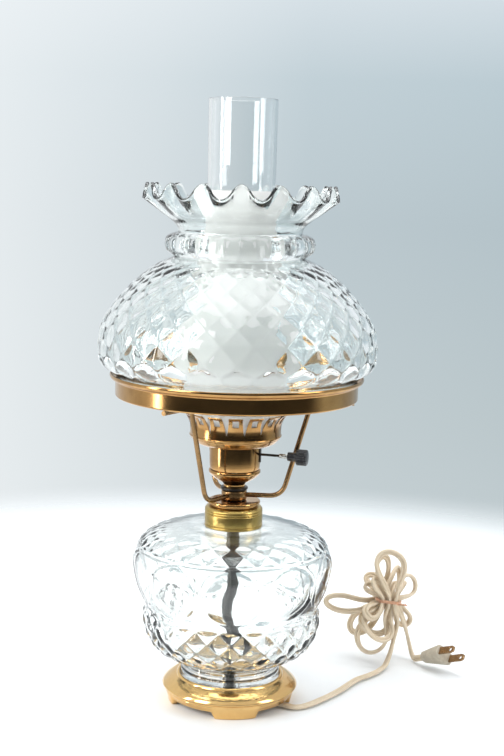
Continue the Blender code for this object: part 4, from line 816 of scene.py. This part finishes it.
def pillows(across, along):
    # convex cushions in diamonds, with grooves between them
    u = (across + along) % 1.0 - 0.5
    v = (across - along) % 1.0 - 0.5
    return (1 - (2 * np.abs(u)) ** 2.2) * (1 - (2 * np.abs(v)) ** 2.2)


def between(value, low, high, soft):
    # 1 between two levels, with soft ends
    rise = np.clip((value - low) / soft, 0, 1)
    fall = np.clip((high - value) / soft, 0, 1)
    return rise * rise * (3 - 2 * rise) * fall * fall * (3 - 2 * fall)


# base casting, with its four foot gaps
base = {"gapHeight": 5.0, "gapHalf": 26.2, "gapChamfer": 3.3, "firstGap": 51.0, "gapTop": 9.6,
        "footInner": 43}


def makeBase():
    outer = softened([(40.0, 21.2), (40.9, 20.4), (41.2, 19.7)], 0.5, 3)
    slope = smoothLine([(41.2, 19.7), (44.6, 18.7), (48.3, 16.6), (50.9, 14.3), (51.7, 13.1)], 5)
    ridge = softened([(51.7, 13.1), (52.0, 12.6), (51.7, 11.7), (50.2, 10.9), (49.4, 9.6), (49.6, 8.4),
                      (48.8, 5.4), (47.9, 2.6), (47.5, 0.0), (43.7, 0.0), (43.7, 10.1), (36.2, 15.1),
                      (5.3, 15.1), (5.3, 17.5), (38.6, 17.5), (38.6, 20.8), (39.0, 21.2), (39.6, 21.3)], 0.5, 3)
    line = np.vstack([outer, slope[1:], ridge[1:]])

    def relief(radius, level, angle):
        offset = (np.degrees(angle) - base["firstGap"] + 45) % 90 - 45
        share = np.clip((base["gapHalf"] - np.abs(offset)) / base["gapChamfer"], 0, 1)
        gap = base["gapHeight"] * share
        top = base["gapTop"]
        low = (level < top) & (radius > base["footInner"])
        return radius, np.where(low, gap + level * (top - gap) / top, level)

    place(turned("baseBrass", line, 0.0, 288, relief=relief, sharpDegrees=48), polishedBrass, "lamp",
          "polished_brass", "base_casting")


# glass font: a quilted shoulder, a band of ovals and a quilted lower bulge
font = {"shoulderQuilt": (104.8, 116.5), "ovals": (61.0, 103.0), "lowerQuilt": (19.0, 55.5),
        "shoulderColumns": 24, "ovalColumns": 10, "lowerColumns": 24, "swells": 6, "swell": 1.3,
        "shoulderRelief": 1.5, "shoulderStretch": 1.1, "ovalWidth": 2.15, "ovalDepth": 1.5, "ovalRim": 0.5,
        "lowerRelief": 1.7, "seam": 0.8, "seamLevel": 104.0, "swellBand": (24.0, 100.0)}


def makeFont():
    body = smoothLine([(23.0, 118.4), (34.7, 117.9), (51.3, 116.0), (63.3, 112.0), (71.3, 105.0),
                       (75.4, 94.7),
                       (75.0, 82.9), (72.0, 71.0), (66.2, 59.0), (66.0, 55.0), (66.6, 49.3), (64.9, 37.9),
                       (58.6, 26.6), (44.6, 17.6), (38.6, 15.0)], 14)
    stem = softened([(38.6, 15.0), (36.6, 13.4), (37.9, 11.6), (37.9, 10.2), (36.7, 8.9), (38.0, 7.3),
                     (38.0, 0.0)],
                    0.8, 4)
    mouth = np.array([(20.0, 132.6), (20.0, 119.4), (21.2, 118.5)])
    outer = np.vstack([mouth, body, stem[1:]])
    inner = smoothLine([(5.3, 0.0), (5.3, 13.6)], 1)
    hollow = smoothLine([(22.0, 13.6), (31.0, 13.8), (42.5, 20.2), (55.4, 29.4), (61.0, 39.0), (62.6, 49.3),
                         (62.0, 56.0), (63.4, 62.5), (68.2, 72.0), (71.0, 83.2), (71.3, 94.0), (67.9, 102.4),
                         (61.2, 108.4), (50.0, 112.1), (34.4, 113.9), (22.0, 114.4), (16.8, 115.6)], 6)
    line = np.vstack([outer, inner, hollow, [(16.8, 132.6)]])
    outside = np.zeros(len(line), bool)
    outside[len(mouth):len(mouth) + len(body)] = True
    along = conformal(line)
    turn = 2 * math.pi

    def relief(radius, level, angle):
        far = np.repeat(along[:, None], radius.shape[1], axis=1)
        across = angle / turn
        low, high = font["shoulderQuilt"]
        shoulder = pillows(across * font["shoulderColumns"],
                           far * font["shoulderColumns"] / turn / font["shoulderStretch"])
        amount = font["shoulderRelief"] * shoulder * between(level, low, high, 2.0)
        low, high = font["ovals"]
        spot = ((across * font["ovalColumns"]) % 1.0 - 0.5) * font["ovalWidth"]
        rise = (level - (low + high) / 2) / ((high - low) / 2)
        oval = spot ** 2 + rise ** 2
        amount -= font["ovalDepth"] * np.clip(1 - oval ** 1.5, 0, 1) * (oval < 1)
        amount += font["ovalRim"] * np.exp(-((oval - 1.0) / 0.10) ** 2) * between(level, low - 3, high + 2, 3)
        low, high = font["lowerQuilt"]
        lower = pillows(across * font["lowerColumns"], far * font["lowerColumns"] / turn)
        amount += font["lowerRelief"] * lower * between(level, low, high, 3.0)
        amount += font["seam"] * np.exp(-((level - font["seamLevel"]) / 0.7) ** 2)
        swell = np.sin(font["swells"] * (angle + math.pi / 2)) * np.sin((level - 30.0) / 9.5)
        swell *= font["swell"] * between(level, *font["swellBand"], 10.0)
        return radius + np.where(outside[:, None], amount, swell * (radius > 50)), level

    place(turned("fontGlass", line, 0.0178, 480, relief=relief, sharpDegrees=70), fontClear, "lamp",
          "clear_glass", "font_glass")


# glass shade: quilted dome, beaded neck ring and ruffled rim
shade = {"columns": 28, "amplitude": 1.5, "ruffles": 16, "ruffleRise": 4.6, "ruffleSwing": 0.9,
         "ruffleStart": 129.6,
         "ruffleHeight": 19.9, "beads": 30, "quiltBand": (27.0, 101.0), "quiltStretch": 1.06, "drop": 1.4,
         "dropLevel": 25.5, "dropHeight": 6.5, "bead": 1.7, "beadBand": (104.5, 120.2)}


def makeShade():
    flare = smoothLine([(72.2, 149.6), (69.2, 145.2), (65.0, 140.5), (58.6, 134.8), (52.1, 130.4),
                        (47.0, 125.4),
                        (45.8, 121.4)], 6)
    bead = smoothLine([(45.8, 121.4), (50.6, 120.2), (54.2, 117.4), (55.5, 112.3), (54.2, 107.6),
                       (50.8, 104.9),
                       (48.4, 103.3)], 5)
    dome = smoothLine([(48.4, 103.3), (57.5, 99.4), (68.3, 92.4), (78.0, 84.0), (85.4, 76.3), (92.0, 68.6),
                       (96.9, 61.7), (101.0, 54.4), (103.2, 47.6), (104.0, 35.5), (102.6, 27.2), (99.6, 22.2),
                       (93.4, 17.3)], 16)
    skirt = softened([(93.4, 17.3), (89.2, 13.2), (88.9, 12.0), (88.9, 0.0), (85.5, 0.0), (85.5, 12.6)], 0.8,
                     3)
    inside = smoothLine([(85.5, 12.6), (89.6, 18.2), (97.0, 24.0), (100.2, 31.0), (100.4, 40.0), (98.2, 51.0),
                         (91.6, 63.0), (80.6, 75.5), (66.0, 88.4), (52.0, 96.6), (45.2, 101.0), (43.6, 106.0),
                         (42.3, 114.0), (42.3, 121.6), (44.4, 128.2), (50.0, 133.0), (57.6, 138.8), (63.4, 144.6),
                         (68.6, 150.0)], 5)
    rim = smoothLine([(68.6, 150.0), (69.4, 151.4), (71.2, 151.4), (72.2, 149.6)], 4)
    line = np.vstack([flare, bead[1:], dome[1:], skirt[1:], inside[1:], rim[1:-1]])
    domeRows = np.zeros(len(line), bool)
    start = len(flare) + len(bead) - 2
    domeRows[start:start + len(dome)] = True
    beadRows = np.zeros(len(line), bool)
    beadRows[len(flare):start] = True
    along = conformal(line)
    turn = 2 * math.pi

    def relief(radius, level, angle):
        far = np.repeat(along[:, None], radius.shape[1], axis=1)
        cells = angle / turn * shade["columns"]
        quilt = pillows(cells, far * shade["columns"] / turn / shade["quiltStretch"])
        size = np.clip(radius / 100.0, 0.4, 1.0)
        amount = shade["amplitude"] * size * (quilt - 0.5) * between(level, *shade["quiltBand"], 4.0)
        across = np.abs((cells + 0.5) % 1.0 - 0.5) * 2
        drop = np.clip(1 - ((level - shade["dropLevel"]) / shade["dropHeight"]) ** 2 - (1.15 * across) ** 2,
                       0, 1)
        amount += shade["drop"] * np.sqrt(drop) * (level > 18.5)
        ball = np.abs(np.cos(angle * shade["beads"] / 2)) ** 0.7
        beadLift = shade["bead"] * (ball - 0.75) * between(level, *shade["beadBand"], 3.0)
        radius = radius + amount * domeRows[:, None] + beadLift * beadRows[:, None]
        share = np.clip((level - shade["ruffleStart"]) / shade["ruffleHeight"], 0, 1.05)
        wave = np.cos(shade["ruffles"] * angle)
        wave = np.sign(wave) * np.abs(wave) ** 0.8
        level = level + shade["ruffleRise"] * share ** 2.6 * wave
        radius = radius - shade["ruffleSwing"] * share ** 2.6 * wave
        return radius, level

    place(turned("shadeGlass", line, 0.2371, 560, relief=relief, sharpDegrees=75), shadeClear, "shade",
          "clear_glass", "glass_shade")


# chimney, frosted below and clear above
chimney = {"seat": 0.2047, "wall": 2.0, "frostTop": 183.0}


def makeChimney():
    outer = smoothLine([(25.5, 250.6), (25.4, 235.0), (25.2, 205.0), (25.2, 177.9), (26.7, 155.4),
                        (31.6, 125.0),
                        (37.2, 95.0), (40.4, 62.7), (38.4, 38.5), (34.0, 21.0), (33.35, 14.0), (33.35, 0.0)], 8)
    inner = insideOf(outer, -chimney["wall"])
    if inner[5, 0] > outer[5, 0]:
        inner = insideOf(outer, chimney["wall"])
    line = np.vstack([outer, [(32.4, -0.1)], inner[::-1], [(24.4, 250.9)]])
    obj = turned("chimneyGlass", line, chimney["seat"], 128, sharpDegrees=60)
    place(obj, [chimneyFrost, chimneyClear], "chimney", "frosted_glass", "chimney")
    for face in obj.data.polygons:
        face.material_index = int(face.center.z > chimney["seat"] + chimney["frostTop"] * mm)


def makeBulb():
    outer = smoothLine([(0.0, 62.0), (12.0, 58.6), (20.9, 49.6), (24.0, 38.4), (21.1, 24.8), (13.6, 8.0),
                        (12.1, 5.4), (12.1, 0.0)], 6)
    outer[:, 0] = np.maximum(outer[:, 0], 0.0)
    inner = outer.copy()
    inner[:, 0] = np.maximum(inner[:, 0] - 0.9, 0.0)
    inner[:, 1] = np.minimum(inner[:, 1], 61.0)
    line = np.vstack([outer, inner[::-1]])
    place(turned("bulbGlass", line, 0.2227, 64, closed=False), bulbFrost, "bulb", "frosted_glass",
          "bulb_glass")


# shade ring and its three arms
def makeRing():
    outer = softened([(94.3, 17.0), (95.0, 16.9), (95.3, 15.4), (94.4, 13.6), (91.6, 12.6), (91.0, 11.8),
                      (91.0, 1.0),
                      (90.4, 0.3), (89.6, 0.0), (85.8, 0.0), (85.8, 0.8), (90.2, 0.8), (90.2, 12.4), (92.6, 13.6),
                      (94.1, 15.2), (94.1, 16.6)], 0.5, 3, closed=True)
    place(turned("ringBrass", outer, 0.236, 256, sharpDegrees=50), agedBrass, "lamp", "aged_brass",
          "shade_ring")


arm = {"radius": 1.85, "first": -5.0, "corner": 36.3, "top": 56.86, "end": 88.5, "low": 160.7, "high": 233.85}


def makeArms():
    middle = ((arm["corner"] + arm["top"]) / 2, (arm["low"] + arm["high"]) / 2)
    lower = softened([(6.7, arm["low"]), (arm["corner"], arm["low"]), middle], 9.9, 10)
    upper = softened([middle, (arm["top"], arm["high"]), (arm["end"], arm["high"])], 4.6, 8)
    route = np.vstack([lower, upper[1:]])
    for index, node in enumerate(("shade_arm_right", "shade_arm_rear", "shade_arm_left")):
        angle = math.radians(arm["first"] + 120 * index)
        line = np.array([(r * math.cos(angle), r * math.sin(angle), z) for r, z in route]) * mm
        side = alongFrames(line, (-math.sin(angle), math.cos(angle), 0))[1]
        obj = sweep("armWire%d" % index, line, side, circle(arm["radius"] * mm, 20))
        place(obj, bronzeDark, "lamp", "aged_brass", node)


# collar, disc, hub, nut and socket
def makeStack():
    collar = softened([(18.4, 16.0), (20.6, 15.4), (21.8, 13.9), (22.0, 13.2), (21.2, 12.8), (22.0, 12.2),
                       (22.0, 11.3),
                       (21.2, 10.9), (22.0, 10.4), (22.0, 2.5), (21.2, 2.1), (22.0, 1.6), (22.0, 0.2), (21.6, 0.0),
                       (20.3, 0.0), (20.3, 14.2), (5.3, 14.2), (5.3, 16.0)], 0.35, 2, closed=True)
    place(turned("collarBrass", collar, 0.1365, 160), collarBrass, "lamp", "aged_brass", "font_collar")
    disc = softened([(18.6, 4.0), (19.6, 3.7), (20.0, 3.0), (20.0, 1.8), (19.4, 1.3), (18.2, 1.3),
                     (18.2, 0.0), (5.3, 0.0),
                     (5.3, 4.0)], 0.4, 3, closed=True)
    place(turned("discBrass", disc, 0.1528, 128), agedBrass, "lamp", "aged_brass", "collar_disc")
    hub = softened([(8.9, 7.2), (9.7, 6.4), (9.7, 0.8), (8.9, 0.0), (5.3, 0.0), (5.3, 7.2)], 0.4, 3,
                   closed=True)
    place(turned("hubBrass", hub, 0.1571, 96), bronzeDark, "lamp", "aged_brass", "arm_hub")
    nut = softened([(9.8, 2.4), (10.4, 1.8), (10.4, 0.6), (9.8, 0.0), (5.3, 0.0), (5.3, 2.4)], 0.3, 2,
                   closed=True)
    place(turned("neckNut", nut, 0.1646, 96), darkMetal, "lamp", "dark_metal", "neck_nut")

    cap = np.vstack([softened([(18.3, 13.2), (19.3, 13.1), (19.7, 12.5), (19.7, 10.9), (19.2, 10.2),
                               (18.6, 9.6)], 0.4, 3),
                     smoothLine([(18.4, 9.3), (16.8, 7.6), (13.0, 4.9), (9.6, 3.1), (8.3, 1.6), (8.2, 0.0)],
                                5),
                     [(5.3, 0.0), (5.3, 3.0)],
                     smoothLine([(7.6, 3.2), (12.2, 5.7), (16.0, 8.4), (17.6, 10.4), (18.3, 11.4)], 4)])
    place(turned("socketCap", cap, 0.1673, 128), agedBrass, "lamp", "aged_brass", "socket_cap")
    shell = np.vstack([smoothLine([(18.7, 38.0), (19.0, 36.0), (19.35, 26.0), (19.4, 16.0), (19.25, 6.0),
                                   (18.9, 1.2),
                                   (18.6, 0.0)], 6), [(18.2, 0.0), (18.2, 38.0)]])
    place(turned("socketShell", shell, 0.1808, 128), agedBrass, "lamp", "aged_brass", "socket_shell")


# turn switch
switch = {"angle": -15.0, "height": 192.8, "flutes": 16}


def makeSwitch():
    spot = outward(math.radians(switch["angle"]), switch["height"] * mm)
    stem = turned("stemRod", [(0.0, 47.4), (0.7, 47.4), (0.95, 47.1), (0.95, 8.0), (0.0, 8.0)], 0.0, 24,
                  closed=False)
    ferrule = turned("stemFerrule", softened([(1.7, 40.7), (1.7, 34.6), (1.25, 34.6), (1.25, 40.7)], 0.2, 2,
                                             closed=True), 0.0, 32)
    head = np.vstack([[(0.0, 56.4)], softened([(3.8, 56.2), (5.6, 55.8), (6.0, 55.0), (6.0, 48.6),
                                               (5.4, 47.8),
                                               (3.6, 47.6), (3.4, 46.8), (3.4, 41.2), (3.1, 41.0)], 0.4, 3),
                      [(1.25, 41.0), (1.25, 47.7), (0.0, 47.7)]])

    def fluted(radius, level, angle):
        wave = 0.35 * (np.abs(np.cos(angle * switch["flutes"] / 2)) - 0.6)
        return radius + wave * ((radius > 5.5) & (level > 48)), level

    knob = turned("switchKnob", head, 0.0, 192, closed=False, relief=fluted)
    for obj, material, slotName, node in ((stem, darkMetal, "dark_metal", "switch_stem"),
                                          (ferrule, zincSteel, "zinc_steel", "switch_ferrule"),
                                          (knob, blackPlastic, "black_plastic", "switch_knob")):
        obj.matrix_world = spot
        place(obj, material, "switch", slotName, node)


# chimney gallery with its sixteen pierced spring tabs
gallery = {"tabs": 16, "first": -90.0, "level": 6.2, "crown": 18.2, "notch": 13.0, "notchTop": 5.6,
           "notchBottom": 0.8, "windowHalf": 2.4, "windowTop": 1.5, "windowHeight": 5.6}


def makeGallery():
    bowl = softened([(34.6, 7.4), (35.0, 6.6), (34.6, 5.9), (33.6, 4.6), (31.0, 1.6), (28.2, 0.0),
                     (19.7, 0.0), (19.7, 0.8),
                     (27.6, 0.8), (30.1, 4.0), (33.8, 4.4), (33.8, 7.4)], 0.4, 3, closed=True)
    bowlPart = turned("galleryBowl", bowl, 0.2004, 128)
    place(bowlPart, agedBrass, "lamp", "aged_brass", "chimney_gallery")
    top = gallery["level"] + gallery["crown"]
    profile = smoothLine([(34.4, 6.6), (34.4, 12.0), (34.8, 15.6), (36.2, 19.0), (38.6, 22.6), (41.2, top)],
                         10)
    windowHigh, windowLow = top - gallery["windowTop"], top - gallery["windowTop"] - gallery["windowHeight"]
    levels = sorted(set([float(z) for z in np.linspace(6.6, top, 22)] + [windowHigh, windowLow,
                                                                       top - gallery["notch"]]))
    radii = np.interp(levels, profile[:, 1], profile[:, 0])
    tabs = gallery["tabs"]
    half = math.pi / tabs
    verts, faces = [], []
    for tab in range(tabs):
        start = len(verts)
        middle = math.radians(gallery["first"]) + 2 * half * tab
        for level, radius in zip(levels, radii):
            share = max(0.0, (level - (top - gallery["notch"])) / gallery["notch"])
            gap = 0.0 if share <= 0 else gallery["notchBottom"] + (gallery["notchTop"] - gallery["notchBottom"]) * share
            reach = half - gap / 2 / radius
            window = gallery["windowHalf"] / radius
            spots = [-reach, -(reach + window) / 2, -window, -window * 0.5, 0.0]
            spots += [-s for s in spots[-2::-1]]
            for spot in spots:
                verts.append((radius * math.cos(middle + spot) * mm, radius * math.sin(middle + spot) * mm, level * mm))
        edge = 9
        for row in range(len(levels) - 1):
            inWindow = levels[row] > windowLow - 0.01 and levels[row + 1] < windowHigh + 0.01
            for k in range(edge - 1):
                if inWindow and 2 <= k < 6:
                    continue
                a = start + row * edge + k
                faces.append((a, a + 1, a + 1 + edge, a + edge))
    mesh = bpy.data.meshes.new("galleryCrown")
    mesh.from_pydata(verts, [], faces)
    shape = bmesh.new()
    shape.from_mesh(mesh)
    bmesh.ops.remove_doubles(shape, verts=shape.verts, dist=0.00002)
    bmesh.ops.recalc_face_normals(shape, faces=shape.faces)
    bmesh.ops.solidify(shape, geom=shape.faces[:], thickness=0.0008)
    shape.to_mesh(mesh)
    shape.free()
    smoothed(mesh, 40)
    crown = bpy.data.objects.new("galleryCrown", mesh)
    crown.location.z = 0.2004
    place(crown, agedBrass, "lamp", "aged_brass")


# the CAD pieces that stay as they are
kept = {"base_washer": zincSteel, "base_lock_nut": zincSteel, "centre_pipe": pipeSteel,
        "neck_set_screw": darkMetal,
        "socket_liner": fibreLiner, "switch_body": blackPlastic, "terminal_screw_live": brightBrass,
        "terminal_screw_neutral": zincSteel, "screw_shell": brightBrass, "centre_contact": brightBrass,
        "stem_clip": darkMetal, "bulb_cap": zincSteel, "bulb_contact": zincSteel}

makeBase()
makeFont()
makeShade()
makeChimney()
makeBulb()
makeRing()
makeArms()
makeStack()
makeSwitch()
makeGallery()
for node, material in kept.items():
    mesh = bpy.data.objects[node].data
    mesh.materials.clear()
    mesh.materials.append(material)
print("lamp made")


# the studio: a pale table top, a soft sky and large lights
studio = {"floorRadius": 0.75, "fadeStart": 0.42, "floorSpot": (0.03, 0.03, -0.0003), "diffuse": 0.52,
          "skyReach": 0.30, "leftReach": 0.20, "leftTone": (0.93, 0.96, 0.975, 1.0),
          "sky": [(0.0, (0.93, 0.96, 0.965)), (0.06, (0.78, 0.84, 0.86)), (0.10, (0.53, 0.60, 0.625)),
                  (0.22, (0.50, 0.575, 0.60)), (0.45, (0.46, 0.545, 0.585)), (0.62, (0.50, 0.60, 0.65)),
                  (0.80, (0.78, 0.84, 0.89)), (1.0, (0.86, 0.90, 0.94))],
          "left": [(0.0, 0.75), (0.35, 0.42), (0.62, 0.10), (1.0, 0.0)],
          "roomHeight": (-0.6, 0.8), "room": [(0.0, 1.0), (0.20, 0.05), (0.64, 0.05), (0.85, 1.0)],
          "front": [(0.0, 1.0), (0.36, 1.0), (0.50, 0.0)],
          "glassTone": (0.26, 0.31, 0.29, 1), "softTone": (0.90, 0.95, 1.0, 1.0)}


def makeFloor():
    data = bpy.data.meshes.new("studioFloor")
    shape = bmesh.new()
    bmesh.ops.create_circle(shape, cap_ends=True, radius=studio["floorRadius"], segments=96)
    shape.to_mesh(data)
    shape.free()
    floor = bpy.data.objects.new("studioFloor", data)
    floor.location = studio["floorSpot"]
    bpy.context.scene.collection.objects.link(floor)
    material, tree, shader = newMaterial("tableTop")
    shader.inputs["Base Color"].default_value = (0.86, 0.88, 0.89, 1.0)
    shader.inputs["Roughness"].default_value = 0.55
    shader.inputs["Specular IOR Level"].default_value = 0.25
    spot = addNode(tree, "ShaderNodeTexCoord").outputs["Object"]
    reach = addNode(tree, "ShaderNodeVectorMath", {0: spot}, operation="LENGTH").outputs["Value"]
    fade = addNode(tree, "ShaderNodeMapRange", {"Value": reach, "From Min": studio["fadeStart"],
                                                "From Max": studio["floorRadius"] - 0.01, "To Min": 1.0,
                                                "To Max": 0.0}, interpolation_type="SMOOTHSTEP")
    tree.links.new(fade.outputs["Result"], shader.inputs["Alpha"])
    data.materials.append(material)


def makeSky():
    world = bpy.data.worlds.new("softSky")
    world.use_nodes = True
    bpy.context.scene.world = world
    tree = world.node_tree
    tree.nodes.clear()
    spot = addNode(tree, "ShaderNodeTexCoord").outputs["Generated"]
    parts = addNode(tree, "ShaderNodeSeparateXYZ", {"Vector": spot}).outputs
    sky = ramp(tree, scaled(tree, parts["Z"], -studio["skyReach"], studio["skyReach"]), studio["sky"])
    leftward = greyRamp(tree, scaled(tree, parts["X"], -studio["leftReach"], studio["leftReach"]),
                        studio["left"])
    lit = mixed(tree, leftward, sky, studio["leftTone"])
    # reflections and refractions meet the dark room in front of the table
    level = greyRamp(tree, scaled(tree, parts["Z"], *studio["roomHeight"]), studio["room"])
    front = greyRamp(tree, scaled(tree, parts["Y"], -1.0, 1.0), studio["front"])
    rays = addNode(tree, "ShaderNodeLightPath").outputs
    through = mixed(tree, rays["Is Transmission Ray"], (0, 0, 0, 1), studio["glassTone"])
    tone = mixed(tree, 1.0, level, through, blend_type="LIGHTEN")
    dark = mixed(tree, front, (1, 1, 1, 1), tone)
    room = mixed(tree, 1.0, lit, dark, blend_type="MULTIPLY")
    unseen = calculated(tree, "MAXIMUM", rays["Is Glossy Ray"], rays["Is Transmission Ray"])
    seen = calculated(tree, "MAXIMUM", unseen, rays["Is Camera Ray"])
    soft = addNode(tree, "ShaderNodeBackground", {"Color": studio["softTone"], "Strength": studio["diffuse"]})
    view = addNode(tree, "ShaderNodeBackground", {"Color": mixed(tree, unseen, lit, room), "Strength": 1.0})
    choice = addNode(tree, "ShaderNodeMixShader", {"Fac": seen, 1: soft.outputs["Background"],
                                                   2: view.outputs["Background"]})
    addNode(tree, "ShaderNodeOutputWorld", {"Surface": choice.outputs["Shader"]})


def addLight(name, spot, target, width, height, power, colour=(1.0, 1.0, 1.0), mirrored=True):
    data = bpy.data.lights.new(name, "AREA")
    data.shape = "RECTANGLE"
    data.size, data.size_y = width, height
    data.energy = power
    data.color = colour
    obj = bpy.data.objects.new(name, data)
    obj.location = spot
    obj.rotation_euler = (Vector(target) - Vector(spot)).to_track_quat("-Z", "Y").to_euler()
    obj.visible_camera = False
    obj.visible_glossy = mirrored
    obj.visible_transmission = mirrored
    bpy.context.scene.collection.objects.link(obj)


makeFloor()
makeSky()
addLight("keyLeft", (-1.1, -0.9, 0.9), (0, 0, 0.22), 0.55, 1.1, 17.0)
addLight("stripLeft", (-0.95, -0.25, 0.35), (0, 0, 0.25), 0.10, 0.9, 5.0)
addLight("fillRight", (1.3, -0.5, 0.8), (0, 0, 0.2), 0.5, 0.9, 8.0)
addLight("overhead", (0.1, 0.1, 1.6), (0, 0, 0.1), 1.2, 1.2, 16.0)
addLight("backGlow", (-0.3, 1.2, 0.8), (0, 0, 0.2), 1.4, 0.8, 8.0, mirrored=False)
bpy.context.scene.view_settings.view_transform = "Standard"
print("studio lit")
